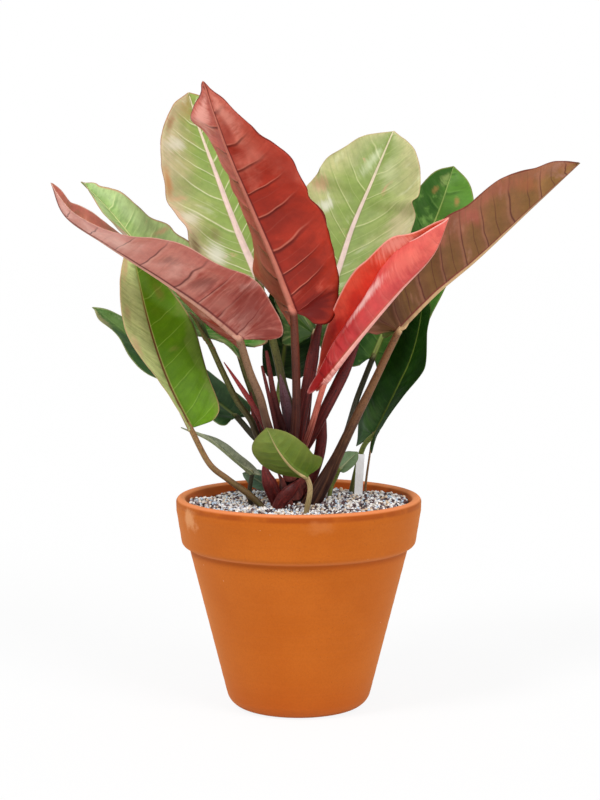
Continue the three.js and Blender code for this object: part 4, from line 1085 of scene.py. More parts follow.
        "node": "low_back_left", "slot": "green_leaf", "stalkSlot": "green_petiole",
        "stalk": "green",
        "veins": 7.0, "veinHeight": 0.2, "pucker": 0.2, "rows": 70, "girth": [3.6, 3],
        "rib": [[-40, 60, 289], [-52, 66, 294], [-64, 72, 300], [-78, 78, 305]],
        "face": [[0.14, -0.75, 0.65], [0.14, -0.75, 0.65]], "half": [15, 15],
        "fold": [[13, 8], [13, 8]], "curl": [[5, 5], [5, 5]],
        "widest": 0.4, "lobe": 0.06, "wave": [1, 2, 0],
        "petiole": [[-28, 46, 240], [-31, 52, 268]],
        "under": {
            "Foot": (90, 120, 96), "Middle": (98, 128, 104), "Tip": (98, 128, 104),
            "Vein": (120, 146, 120), "Rib": (140, 156, 124), "Edge": (100, 124, 96),
            "Rib Width": 2.0,
        },
        "upper": {
            "Foot": (96, 132, 106), "Middle": (118, 150, 126), "Tip": (150, 172, 140),
            "Vein": (146, 172, 146), "Rib": (166, 184, 150), "Edge": (120, 146, 116),
            "Rib Width": 2.0,
        },
    },
    "lowRight": {
        "node": "low_right", "slot": "green_leaf", "stalkSlot": "green_petiole", "stalk": "green",
        "veins": 6.0, "veinHeight": 0.15, "pucker": 0.2, "rows": 50, "girth": [3.6, 2.8],
        "rib": [[55, 10, 320], [66, 17, 330], [80, 24, 342]],
        "face": [[0, -0.66, 0.75], [0, -0.66, 0.75]], "half": [14, 14],
        "fold": [[13, 8], [13, 8]], "curl": [[5, 5], [5, 5]],
        "widest": 0.4, "lobe": 0.06, "wave": [0.6, 2, 0],
        "petiole": [[36, 14, 240], [43, 14, 291], [50, 13, 308]],
        "under": {
            "Foot": (100, 116, 88), "Middle": (108, 124, 94), "Tip": (108, 124, 94),
            "Vein": (126, 140, 108), "Rib": (140, 146, 110), "Edge": (104, 116, 86),
            "Rib Width": 1.6,
        },
        "upper": {
            "Foot": (110, 134, 96), "Middle": (128, 152, 112), "Tip": (120, 144, 104),
            "Vein": (146, 166, 126), "Rib": (160, 170, 130), "Edge": (116, 134, 96),
            "Rib Width": 1.6,
        },
    },
    "backCentreDark": {
        "node": "back_centre_dark", "slot": "dark_leaf", "stalkSlot": "green_petiole",
        "stalk": "green",
        "veins": 9.0, "veinHeight": 0.3, "rows": 110, "girth": [4.6, 3.4],
        "rib": [[-25, 104, 438], [-18, 124, 489], [-11, 148, 541], [-7, 170, 590]],
        "face": [[0, -0.95, 0.3], [0, -0.95, 0.3]], "half": [34, 46],
        "fold": [[12, 10], [12, 10]], "curl": [[5, 5], [5, 5]],
        "widest": 0.55, "lobe": 0.02, "wave": [2, 3, 1],
        "petiole": [[-11, 11, 316], [-24, 48, 348], [-30, 82, 390]],
        "under": {
            "Foot": (32, 58, 22), "Middle": (36, 64, 26), "Tip": (36, 62, 24), "Vein": (54, 80, 36),
            "Rib": (98, 104, 50), "Edge": (48, 64, 28),
        },
        "upper": {
            "Foot": (14, 40, 10), "Middle": (18, 50, 14), "Tip": (18, 46, 12), "Vein": (36, 70, 26),
            "Rib": (108, 118, 52), "Edge": (44, 62, 26), "Rib Width": 3.0,
        },
    },
}


# Stalks, sheaths and the stem are tubes along a smooth path, made by one Geometry Nodes tree
def buildStalkTube():
    tree, inputs, outputs = geometryTree("stalkTube", [("Sides", "Int", 20), ("Flat", "Float", 1.0)])

    def stored(geometry, name):
        share = addNode(tree, "GeometryNodeSplineParameter").outputs["Factor"]
        sockets = {"Geometry": geometry, "Name": name, "Value": share}
        return nodeOut(tree, "GeometryNodeStoreNamedAttribute", sockets)

    path = stored(inputs["Geometry"], "along")
    upright = nodeOut(tree, "GeometryNodeSetCurveNormal", {"Curve": path}, mode="Z_UP")
    circle = {"Resolution": inputs["Sides"], "Radius": 1.0}
    ring = stored(nodeOut(tree, "GeometryNodeCurvePrimitiveCircle", circle), "around")
    size = vector(tree, inputs["Flat"], 1.0, 1.0)
    ring = nodeOut(tree, "GeometryNodeTransform", {"Geometry": ring, "Scale": size})
    girth = nodeOut(tree, "GeometryNodeInputRadius")
    tube = nodeOut(tree, "GeometryNodeCurveToMesh", {
        "Curve": upright, "Profile Curve": ring, "Scale": girth, "Fill Caps": True,
    })
    return endTree(tree, inputs, outputs, tube)


stalkTube = buildStalkTube()


def tubePiece(name, points, girth, material, shape):
    # girth(t) is the radius in mm at the share t of the path
    steps = shape["steps"]
    curve = bpy.data.curves.new(name, "CURVE")
    curve.dimensions = "3D"
    spline = curve.splines.new("POLY")
    spline.points.add(steps)
    places = evenCurve(points, steps + 1)[0]
    for step, (point, place) in enumerate(zip(spline.points, places)):
        point.co = (*(place * mm), 1)
        point.radius = max(girth(step / steps), 0.05) * mm
    piece = bpy.data.objects.new(name, curve)
    scene.collection.objects.link(piece)
    values = {"Sides": shape["sides"], "Flat": shape.get("flat", 1.0), "Material": material}
    return bake(piece, stalkTube, values)


def stalkLook(foot, top, streak, speck, **more):
    # a colour at the foot and one at the top, streaks along the stalk and fine speckles
    colours = zip(("foot", "top", "streak", "speck"), (foot, top, streak, speck))
    return {**{name: rgb(*colour) for name, colour in colours}, **more}


stalkLooks = {
    "brown": stalkLook((60, 14, 14), (104, 52, 36), (124, 70, 52), (54, 28, 20), streakShare=0.4),
    "fawn": stalkLook((66, 30, 28), (146, 110, 84), (120, 106, 60), (84, 52, 38), streakShare=0.35),
    "tan": stalkLook((40, 12, 10), (124, 84, 50), (146, 98, 68), (62, 38, 24), streakShare=0.3),
    "moss": stalkLook((62, 54, 24), (150, 108, 70), (112, 112, 50), (76, 60, 32)),
    "cream": stalkLook((120, 96, 62), (196, 172, 124), (128, 120, 60), (150, 120, 84)),
    "olive": stalkLook((56, 36, 26), (98, 100, 48), (124, 112, 64), (58, 50, 28)),
    "green": stalkLook((64, 50, 32), (112, 128, 52), (150, 150, 86), (76, 80, 38)),
    "dark": stalkLook((40, 24, 20), (52, 52, 28), (80, 64, 42), (32, 24, 18)),
    "pink": stalkLook((96, 34, 34), (206, 104, 84), (228, 142, 122), (164, 70, 58)),
    "maroon": stalkLook((72, 16, 14), (98, 30, 28), (140, 50, 44), (34, 12, 14), roughness=0.42),
    "rust": stalkLook((52, 14, 18), (112, 42, 40), (124, 62, 50), (46, 16, 18)),
    "scarlet": stalkLook((60, 20, 22), (160, 44, 44), (184, 84, 74), (80, 24, 26), roughness=0.42),
    "mauve": stalkLook((64, 24, 28), (118, 84, 92), (112, 50, 60), (60, 34, 40), roughness=0.6),
    "dry": stalkLook((104, 74, 46), (146, 112, 76), (166, 134, 98), (76, 52, 34), roughness=0.8),
    "bark": stalkLook((34, 10, 8), (38, 10, 8), (70, 28, 22), (20, 8, 6), roughness=0.85),
}
stalkPattern = {
    "roughness": 0.5, "shine": 0.3, "streakShare": 0.55, "speckShare": 0.6, "streakScale": 3.2,
    "streakDraw": 1.2, "patchScale": 45.0, "speckScale": 480.0, "drift": 0.5, "climb": (0.1, 0.8),
    "streakLevels": (0.46, 0.66), "speckLevels": (0.52, 0.66), "speckRelief": 0.3,
    "ribBlend": (-0.01, 0.03),
}


def stalkMaterial(name, look, join=None, rib=None):
    # from the join on it takes the colour of the rib
    look = {**stalkPattern, **look}
    material, tree, shader = newMaterial(name, look["roughness"], look["shine"])
    along, around = readAttribute(tree, "along"), readAttribute(tree, "around")
    place = objectPlace(tree)
    turn = times(tree, around, fullTurn)
    strand = vector(tree, calc(tree, "SINE", turn), calc(tree, "COSINE", turn),
                    times(tree, along, look["streakDraw"]))
    streaks = noiseAt(tree, strand, look["streakScale"])
    specks = noiseAt(tree, place, look["speckScale"], 2.0)
    drift = strayed(tree, along, noiseAt(tree, place, look["patchScale"]), look["drift"])
    colour = mixColours(tree, ease(tree, drift, *look["climb"]), look["foot"], look["top"])
    streaky = ease(tree, streaks, *look["streakLevels"], 0.0, look["streakShare"])
    colour = mixColours(tree, streaky, colour, look["streak"])
    speckled = ease(tree, specks, *look["speckLevels"], 0.0, look["speckShare"])
    colour = mixColours(tree, speckled, colour, look["speck"])
    if rib:
        onBlade = ease(tree, along, *(join + shift for shift in look["ribBlend"]))
        colour = mixColours(tree, onBlade, colour, rib)
    fill(tree, shader.inputs["Base Color"], colour)
    relief = plus(tree, streaks, times(tree, specks, look["speckRelief"]))
    bumpFrom(tree, shader, relief, 0.5 * mm, 0.6)
    return material


petiole = {"taper": 1.4, "swellEnd": 0.3, "reachOn": [7, 20], "sink": [2.6, 1.2], "lastGirth": 0.9,
           "steps": 60, "sides": 20}


def leafStalk(name, leaf):
    # the petiole runs on under its blade as the start of the midrib, and takes its colour there
    base, top = leaf["girth"]
    middle, directions, length = evenCurve(leaf["rib"])
    own = evenCurve([*leaf["petiole"], leaf["rib"][0]])[2]
    extra = []
    for reach, sink in zip(petiole["reachOn"], petiole["sink"]):
        step = min(int(reach / length * (len(middle) - 1)), len(middle) // 2)
        normal = np.array(leaf["face"][0], float)
        normal -= normal.dot(directions[step]) * directions[step]
        normal /= np.linalg.norm(normal)
        extra.append(middle[step] - normal * sink)
    points = [*leaf["petiole"], leaf["rib"][0], *extra]
    share = own / evenCurve(points)[2]

    def girth(t):
        if t > share:
            return top + (petiole["lastGirth"] - top) * (t - share) / (1 - share)
        t = t / share
        sheath = leaf["swell"] * max(0, 1 - t / petiole["swellEnd"])
        return top + (base - top) * (1 - t) ** petiole["taper"] + sheath

    material = stalkMaterial(name, stalkLooks[leaf["stalk"]], share, rgb(*leaf["under"]["Rib"]))
    return tubePiece(name, points, girth, material, petiole)


for name, own in leaves.items():
    leaf = {**usualLeaf, **own}
    piece = bake(leafBlade(f"{name}Blade", leaf), leafRelief, {
        "Veins": leaf["veins"], "Vein Height": leaf["veinHeight"], "Vein Width": blade["reliefWidth"],
        "Pucker": leaf["pucker"], "Folds": leaf["folds"], "Rib Height": leaf["ribHeight"],
        "Rib Width": leaf["ribWidth"], "Material": leafMaterial(f"{name}Leaf", leaf),
    })
    settle(piece, leaf["slot"], f"leaf_{leaf['node']}_blade")
    stalk = leafStalk(f"{name}Petiole", leaf)
    settle(stalk, leaf["stalkSlot"], f"leaf_{leaf['node']}_petiole")
print("leaves made:", len(leaves))

# Pointed sheaths and old leaf bases round the stem
sheaths = {
    "tall": {"girth": 8.5, "look": "maroon",
             "path": [[-4, -6, 348], [4, -12, 395], [12, -16, 437], [23, -18, 498], [33, -18, 539]]},
    "right": {"girth": 8, "look": "maroon",
              "path": [[1, -3, 344], [14, -8, 363], [39, -20, 412], [65, -26, 466], [86, -30, 517]]},
    "upright": {"girth": 7.5, "look": "maroon",
                "path": [[9, 1, 286], [27, 5, 338], [32, 5, 380], [33, 5, 412]]},
    "twin_high": {"girth": 6, "tip": 2, "shoulder": 1.1, "look": "rust",
                  "path": [[-14, -4, 342], [-21, -7, 376], [-32, -13, 417], [-43, -17, 483]]},
    "twin_low": {"girth": 4.5, "tip": 1.5, "shoulder": 1.1, "look": "rust",
                 "path": [[-24, -12, 346], [-29, -16, 376], [-38, -23, 417], [-49, -29, 464]]},
    "mauve": {"girth": 7, "look": "mauve", "slot": "mauve_sheath",
              "path": [[-11, 3, 349], [-12, 2, 367], [-16, 2, 402], [-25, 3, 450]]},
    "thin_red": {"girth": 3.6, "look": "scarlet",
                 "path": [[-27, -14, 342], [-46, -24, 383], [-62, -26, 413], [-99, -30, 469]]},
    "left": {"girth": 5, "look": "maroon",
             "path": [[-29, 12, 326], [-46, 20, 350], [-57, 22, 377], [-65, 24, 424]]},
    "low_left": {"girth": 10.5, "look": "maroon",
                 "path": [[-20, -16, 262], [-32, -24, 290], [-42, -30, 315], [-47, -32, 334]]},
    "low_middle": {"girth": 9, "look": "maroon",
                   "path": [[-32, -36, 262], [-24, -42, 284], [-10, -46, 300], [4, -48, 316]]},
}
usualSheath = {"slot": "maroon_sheath", "flat": 0.66, "tip": 0.5, "shoulder": 2.8, "fullness": 0.75,
               "steps": 40, "sides": 16}
sheathPaint = {look: stalkMaterial(look + "Stalk", stalkLooks[look])
               for look in ("maroon", "rust", "scarlet", "mauve")}


def sheathGirth(sheath):
    def girth(t):
        share = min(1, sheath["shoulder"] * (1 - t)) ** sheath["fullness"]
        return sheath["tip"] + (sheath["girth"] - sheath["tip"]) * share
    return girth


for name, own in sheaths.items():
    sheath = {**usualSheath, **own}
    piece = tubePiece(f"{name}Sheath", sheath["path"], sheathGirth(sheath), sheathPaint[sheath["look"]],
                      sheath)
    settle(piece, sheath["slot"], f"sheath_{name}")
print("sheaths made:", len(sheaths))


def crumbMaterial(name, dark, light, scale, roughness):
    # small crumbs of two colours, for potting mix, the painted shade in the gaps of the grit, and old
    # husks
    material, tree, shader = newMaterial(name, roughness)
    crumbs = noiseAt(tree, objectPlace(tree), scale, 5.0, 0.7)
    colour = mixColours(tree, ease(tree, crumbs, 0.35, 0.65), dark, light)
    fill(tree, shader.inputs["Base Color"], colour)
    bumpFrom(tree, shader, crumbs, 2 * mm, 0.8)
    return material


stem = {
    "path": [[-6, -4, 225], [-8, -4, 270], [-8, -2, 310], [-7, 0, 346]], "girth": 15, "taper": 0.35,
    "rings": 5, "ringHeight": 0.8, "steps": 80, "sides": 40,
    "husks": {"Count": 11, "Turn": 2.4, "Radius": 16 * mm, "Foot": 262 * mm, "Rise": 5 * mm,
              "Height": 27 * mm, "Width": 13 * mm, "Lean": 6 * mm, "Thickness": 1.2 * mm},
    "husksMiddle": [-7, -4], "huskColours": [rgb(66, 16, 14), rgb(128, 56, 46)],
}


def stemGirth(t):
    ring = stem["ringHeight"] * math.cos(fullTurn * stem["rings"] * t)
    return stem["girth"] * (1 - stem["taper"] * t * t) + ring


def buildStemScales():
    # old leaf bases stand round the trunk in a spiral, each one a thin pointed husk
    tree, inputs, outputs = geometryTree("stemScales", [
        ("Count", "Int", 10), ("Turn", "Float", 2.4), ("Radius", "Float", 0.015),
        ("Foot", "Float", 0.25), ("Rise", "Float", 0.006), ("Height", "Float", 0.026),
        ("Width", "Float", 0.012), ("Lean", "Float", 0.006), ("Thickness", "Float", 0.0011),
    ])
    ball = {"Segments": 18, "Rings": 14, "Radius": 1.0}
    husk = addNode(tree, "GeometryNodeMeshUVSphere", ball).outputs["Mesh"]
    x, y, z = splitVector(tree, nodeOut(tree, "GeometryNodeInputPosition"))
    up = calc(tree, "MULTIPLY_ADD", z, 0.5, 0.5)
    aside = times(tree, x, calc(tree, "MULTIPLY_ADD", up, -0.6, 1.15))  # narrower towards the tip
    angle = calc(tree, "DIVIDE", times(tree, aside, inputs["Width"]), inputs["Radius"])
    out = calc(tree, "MULTIPLY_ADD", times(tree, up, up), inputs["Lean"], inputs["Radius"])
    out = plus(tree, out, times(tree, y, inputs["Thickness"]))
    bent = vector(tree, times(tree, out, calc(tree, "SINE", angle)),
                  times(tree, out, calc(tree, "COSINE", angle)), times(tree, up, inputs["Height"]))
    husk = nodeOut(tree, "GeometryNodeSetPosition", {"Geometry": husk, "Position": bent})
    order = nodeOut(tree, "GeometryNodeInputIndex")
    place = vector(tree, z=calc(tree, "MULTIPLY_ADD", order, inputs["Rise"], inputs["Foot"]))
    spots = nodeOut(tree, "GeometryNodePoints", {"Count": inputs["Count"], "Position": place})
    turned = vector(tree, z=times(tree, order, inputs["Turn"]))
    sockets = {"Points": spots, "Instance": husk, "Rotation": turned}
    return endTree(tree, inputs, outputs, nodeOut(tree, "GeometryNodeInstanceOnPoints", sockets))


bark = stalkMaterial("barkStalk", stalkLooks["bark"])
piece = tubePiece("stemTrunk", stem["path"], stemGirth, bark, stem)
settle(piece, "stem_skin", "stem")
start = meshPiece("stemScales", [(0, 0, 0), (1, 0, 0), (0, 1, 0)], [[0, 1, 2]])  # the tree replaces it
piece = bake(start, buildStemScales(), {
    **stem["husks"], "Material": crumbMaterial("stemHusk", *stem["huskColours"], 110.0, 0.65),
})
for vertex in piece.data.vertices:
    vertex.co.x += stem["husksMiddle"][0] * mm
    vertex.co.y += stem["husksMiddle"][1] * mm
settle(piece, "stem_skin")

dryStalk = {"path": [[90, 60, 240], [92, 60, 290], [97, 58, 330], [102, 56, 365]], "girth": 2,
            "taper": 0.4, "steps": 40, "sides": 14}


def dryStalkGirth(t):
    return dryStalk["girth"] * (1 - dryStalk["taper"] * t)


straw = stalkMaterial("dryStalk", stalkLooks["dry"])
piece = tubePiece("dryStalk", dryStalk["path"], dryStalkGirth, straw, dryStalk)
settle(piece, "dry_stalk", "dry_stalk")
print("stem and dry stalk made")

# The pot: the same outline as the CAD, turned finely, with faint rings from the wheel
pot = {
    "height": 286, "rimRadius": 165, "mouthRadius": 154, "collarFoot": 217, "collarFootRadius": 158,
    "neckRadius": 147.5, "footRadius": 92.7, "footRounding": 24, "lipRounding": 7, "lipStand": 0.5,
    "lipDepth": 18, "collarEdge": 9, "collarRise": 2, "mouthEase": 3, "mouthDepth": 14,
    "floorThickness": 16, "innerFootRadius": 87.7, "innerTopRadius": 150, "gritFoot": 256,
    "floorSlant": [8, 10], "drainRadius": 8, "drainDistance": 48, "drainCount": 3, "drainSides": 48,
    "collarArc": [-70, -5, 8], "lipArc": [-8, 90, 12], "footArcSteps": 14, "steps": 288,
    "spacing": 2.4, "wheelMark": 0.04, "wheelWaves": [[0.9, 0], [2.3, 1], [0.31, 0]],
    "smoothEnds": [1, 4], "mouthInset": 1,
}


def innerRadius(height):
    share = (height - pot["floorThickness"]) / (pot["height"] - pot["floorThickness"])
    return pot["innerFootRadius"] + (pot["innerTopRadius"] - pot["innerFootRadius"]) * share


def arc(centre, radius, start, end, steps):
    angles = np.radians(np.linspace(start, end, steps + 1))
    return [(centre[0] + radius * math.cos(a), centre[1] + radius * math.sin(a)) for a in angles]


def potProfile():
    # radius and height of each corner, from the foot over the lip and down to the floor inside
    slope = math.atan2(pot["collarFoot"], pot["neckRadius"] - pot["footRadius"])
    inset = pot["footRounding"] / math.tan((math.pi - slope) / 2)
    edge, lip = pot["collarEdge"], pot["lipRounding"]
    collarCentre = (pot["collarFootRadius"] - edge, pot["collarFoot"] + edge + pot["collarRise"])
    mouth, floor = pot["height"] - pot["mouthDepth"], pot["floorThickness"]
    corner = floor + pot["floorSlant"][1]
    return [
        *arc((pot["footRadius"] - inset, pot["footRounding"]), pot["footRounding"], -90,
             math.degrees(slope) - 90, pot["footArcSteps"]),
        (pot["neckRadius"], pot["collarFoot"]),
        *arc(collarCentre, edge, *pot["collarArc"]),
        (pot["rimRadius"] - pot["lipStand"], pot["height"] - pot["lipDepth"]),
        *arc((pot["rimRadius"] - lip, pot["height"] - lip), lip, *pot["lipArc"]),
        (pot["mouthRadius"] - pot["mouthInset"], pot["height"] - pot["mouthEase"]),
        (innerRadius(mouth), mouth), (innerRadius(pot["gritFoot"]), pot["gritFoot"]),
        (innerRadius(corner), corner), (innerRadius(floor) - pot["floorSlant"][0], floor),
    ]


def cutDrainHoles(piece):
    for hole in range(pot["drainCount"]):
        angle = fullTurn * hole / pot["drainCount"] + math.pi / 2
        place = [pot["drainDistance"] * part(angle) * mm for part in (math.cos, math.sin)]
        bpy.ops.mesh.primitive_cylinder_add(
            vertices=pot["drainSides"], radius=pot["drainRadius"] * mm,
            depth=3 * pot["floorThickness"] * mm, location=(*place, 0))
        drill = bpy.context.object
        cut = piece.modifiers.new("drain", "BOOLEAN")
        cut.object, cut.solver = drill, "EXACT"
        graph = bpy.context.evaluated_depsgraph_get()
        mesh = bpy.data.meshes.new_from_object(piece.evaluated_get(graph))
        piece.modifiers.clear()
        piece.data = mesh
        bpy.data.objects.remove(drill)


def finelySpaced(corners):
    points = []
    for start, end in zip(corners, corners[1:]):
        count = max(1, round(math.dist(start, end) / pot["spacing"]))
        for step in range(count):
            share = step / count
            points.append([start[axis] + (end[axis] - start[axis]) * share for axis in (0, 1)])
    return np.array([*points, corners[-1]])


def buildPot():
    profile = finelySpaced(potProfile())
    heights = profile[:, 1]
    wave = sum(np.sin(heights * pace + phase) for pace, phase in pot["wheelWaves"])
    marked = (heights > pot["smoothEnds"][0]) & (heights < pot["height"] - pot["smoothEnds"][1])
    profile[:, 0] += pot["wheelMark"] * wave * marked
    steps = pot["steps"]
    angles = np.linspace(0, fullTurn, steps, endpoint=False)
    points = [(0, 0, 0), (0, 0, pot["floorThickness"])]
    for radius, height in profile:
        points += [(radius * math.cos(a), radius * math.sin(a), height) for a in angles]
    faces, last = [], 2 + (len(profile) - 1) * steps
    for ring in range(2, last, steps):
        for step in range(steps):
            a, b = ring + step, ring + (step + 1) % steps
            faces.append([a, b, b + steps, a + steps])
    for step in range(steps):
        following = (step + 1) % steps
        faces.append([0, 2 + following, 2 + step])
        faces.append([1, last + step, last + following])
    piece = meshPiece("clayPot", points, faces)
    cutDrainHoles(piece)
    return piece


clay = {  # heights and places are in metres here, because the shader measures so
    "roughness": 0.85, "shine": 0.15, "bloom": 0.35, "bloomTint": rgb(255, 190, 130),
    "plain": [rgb(184, 92, 16), rgb(192, 100, 24)],
    # a noise is given as its scale, detail and roughness
    "broad": (9.0, 4.0), "smudge": (60.0, 5.0, 0.7), "patchNoise": (30.0, 4.0), "patchLevels": (0.25, 0.55),
    "foot": {"top": 0.08, "share": 0.5, "colour": rgb(172, 76, 14)},
    "rings": {"stretch": (1.5, 1.5, 110.0), "scale": 3.0, "levels": (0.4, 0.7), "share": 0.05,
              "colour": rgb(206, 116, 54), "relief": 0.15},
    "grain": {"scale": 420.0, "levels": (0.35, 0.7), "share": 0.2, "colour": rgb(156, 70, 18),
              "relief": 0.4},
    "bands": [  # each fades in over its rise, and out again over its fall
        # painted shade: a darker band round the lip, below its painted highlight, broken up by a noise
        {"rise": (0.2735, 0.2775), "fall": (0.284, 0.281), "share": 0.6, "colour": rgb(146, 56, 8),
         "patchy": True},
        # painted highlight along the top of the lip
        {"rise": (0.2815, 0.2845), "share": 0.75, "colour": rgb(238, 146, 96)},
        {"rise": (0.2165, 0.218), "fall": (0.2235, 0.2205), "share": 0.12, "colour": rgb(228, 146, 92)},
        # painted shadow: a darker band on the neck under the collar
        {"rise": (0.207, 0.2165), "fall": (0.2185, 0.217), "share": 0.35, "colour": rgb(132, 54, 10)},
    ],
    # painted shade on the inner wall above the grit; the mask also darkens the neck under the collar a
    # little
    "inside": {"radius": (0.1535, 0.1515), "height": (0.2, 0.24), "share": 0.75,
               "colour": rgb(170, 72, 16)},
    "lime": {"ragged": 0.04, "reach": (0.021, 0.004), "colour": rgb(232, 172, 122), "patches": [
        {"place": (-0.141, -0.08, 0.266), "squash": (1, 1, 1.1), "share": 0.55},
        {"place": (0.026, -0.162, 0.27), "squash": (0.8, 0.8, 1.7), "share": 0.1},
        {"place": (-0.1, 0.13, 0.256), "squash": (0.7, 0.7, 1.2), "share": 0.3},
    ]},
    # pits lie where the broad noise is high, and specks where the smudges are
    "pits": {"scale": 160.0, "reach": (0.1, 0.06), "levels": (0.5, 0.56), "share": 0.55,
             "colour": rgb(96, 40, 12), "relief": 0.8},
    "specks": {"scale": 75.0, "reach": (0.045, 0.03), "levels": (0.55, 0.6), "share": 0.7,
               "colour": rgb(240, 214, 186)},
}


def clayMaterial():
    material, tree, shader = newMaterial("clay", clay["roughness"], clay["shine"])
    shader.inputs["Sheen Weight"].default_value = clay["bloom"]
    shader.inputs["Sheen Tint"].default_value = clay["bloomTint"]
    place = objectPlace(tree)
    x, y, height = splitVector(tree, place)
    radius = calc(tree, "SQRT", plus(tree, times(tree, x, x), times(tree, y, y)))
    broad = noiseAt(tree, place, *clay["broad"])
    grain = noiseAt(tree, place, clay["grain"]["scale"])
    stretched = vectorCalc(tree, "MULTIPLY", place, clay["rings"]["stretch"])[0]
    rings = noiseAt(tree, stretched, clay["rings"]["scale"])
    smudge = noiseAt(tree, place, *clay["smudge"])
    # a noise mask that breaks up the painted shade band on the lip
    patchy = ease(tree, noiseAt(tree, place, *clay["patchNoise"]), *clay["patchLevels"])
    colour = mixColours(tree, ease(tree, broad, 0.3, 0.7), *clay["plain"])

    def cover(mark, mask):
        return mixColours(tree, times(tree, mask, clay[mark]["share"]), colour, clay[mark]["colour"])

    def cells(mark, where):
        sockets = {"Vector": place, "Scale": clay[mark]["scale"]}
        gap = addNode(tree, "ShaderNodeTexVoronoi", sockets).outputs["Distance"]
        dots = ease(tree, gap, *clay[mark]["reach"])
        return times(tree, dots, ease(tree, where, *clay[mark]["levels"]))

    colour = cover("foot", ease(tree, height, clay["foot"]["top"], 0.0))
    colour = cover("rings", ease(tree, rings, *clay["rings"]["levels"]))
    colour = cover("grain", ease(tree, grain, *clay["grain"]["levels"]))
    for band in clay["bands"]:
        mask = ease(tree, height, *band["rise"])
        if "fall" in band:
            mask = times(tree, mask, ease(tree, height, *band["fall"]))
        if "patchy" in band:
            mask = times(tree, mask, patchy)
        colour = mixColours(tree, times(tree, mask, band["share"]), colour, band["colour"])
    # painted shade on the inner wall
    inside = clay["inside"]
    colour = cover("inside", times(tree, ease(tree, radius, *inside["radius"]),
                                   ease(tree, height, *inside["height"])))
    lime = clay["lime"]
    for patch in lime["patches"]:
        gap = vectorCalc(tree, "SUBTRACT", place, patch["place"])[0]
        gap = vectorCalc(tree, "MULTIPLY", gap, patch["squash"])[0]
        edge = strayed(tree, vectorCalc(tree, "LENGTH", gap)["Value"], smudge, lime["ragged"])
        share = times(tree, ease(tree, edge, *lime["reach"]), patch["share"])
        colour = mixColours(tree, share, colour, lime["colour"])
    pits = cells("pits", broad)
    colour = cover("pits", pits)
    colour = cover("specks", cells("specks", smudge))
    fill(tree, shader.inputs["Base Color"], colour)
    relief = plus(tree, times(tree, rings, clay["rings"]["relief"]),
                  times(tree, grain, clay["grain"]["relief"]))
    relief = minus(tree, relief, times(tree, pits, clay["pits"]["relief"]))
    bumpFrom(tree, shader, relief, 0.5 * mm, 0.6)
    return material


piece = buildPot()
piece.data.materials.clear()
piece.data.materials.append(clayMaterial())
smooth(piece)
settle(piece, "terracotta", "pot")
print("pot made")

# The grit: a closed bed, with loose grains strewn over it by Geometry Nodes
grit = {
    "level": 274, "size": 5.2, "spacing": 3.5, "density": 150000.0, "seed": 11, "edge": 147.2,
    "foot": 256, "sink": 0.4, "rings": 60, "steps": 120, "wallGap": 0.3, "grainGap": 2,
    # a heap is given as its rise, its middle and its spread
    "heaps": {"middle": (6, 60, 30, 5000), "right": (9, 140, 20, 3500), "left": (6, -140, 0, 3500)},
    "fall": (4, 150), "broadRoll": (2.2, 23, 19), "fineRoll": (1.6, 31), "roughness": 1.5,
    "bumps": (0.83, 0.61, 0.74, 0.21),
    # a grain's sides and its size lie between these shares of the size
    "sides": [(0.7, 0.7, 0.6), (1.25, 1.1, 0.95)], "sizes": [0.75, 1.2],
    # each colour goes to the grains whose random shade lies between its number and the next
    "colours": [(0, rgb(252, 250, 248)), (0.26, rgb(232, 222, 210)), (0.4, rgb(196, 192, 194)),
                (0.5, rgb(196, 214, 232)), (0.6, rgb(222, 196, 166)), (0.68, rgb(128, 108, 108)),
                (0.78, rgb(92, 62, 62)), (0.9, rgb(54, 38, 44))],
    "fleck": rgb(130, 116, 112), "fleckScale": 900.0, "fleckLevels": (0.45, 0.75, 0.0, 0.25),
    # the bed under the grains is painted dark, as shade in the gaps between them
    "below": [rgb(30, 26, 26), rgb(84, 78, 76)],
}


def gritHeight(x, y):
    def heap(name):
        rise, atX, atY, spread = grit["heaps"][name]
        return rise * math.exp(-((x - atX) ** 2 + (y - atY) ** 2) / spread)

    fall, half = grit["fall"]
    mound = heap("middle") - fall * (x / half) ** 2
    broad, spanX, spanY = grit["broadRoll"]
    fine, span = grit["fineRoll"]
    roll = broad * math.sin(x / spanX + 1) * math.cos(y / spanY) + fine * math.sin((x + y) / span)
    a, b, c, d = grit["bumps"]
    rough = grit["roughness"] * math.sin(x * a + math.sin(y * b)) * math.cos(y * c - x * d)
    return grit["level"] + mound + heap("right") + heap("left") + roll + rough


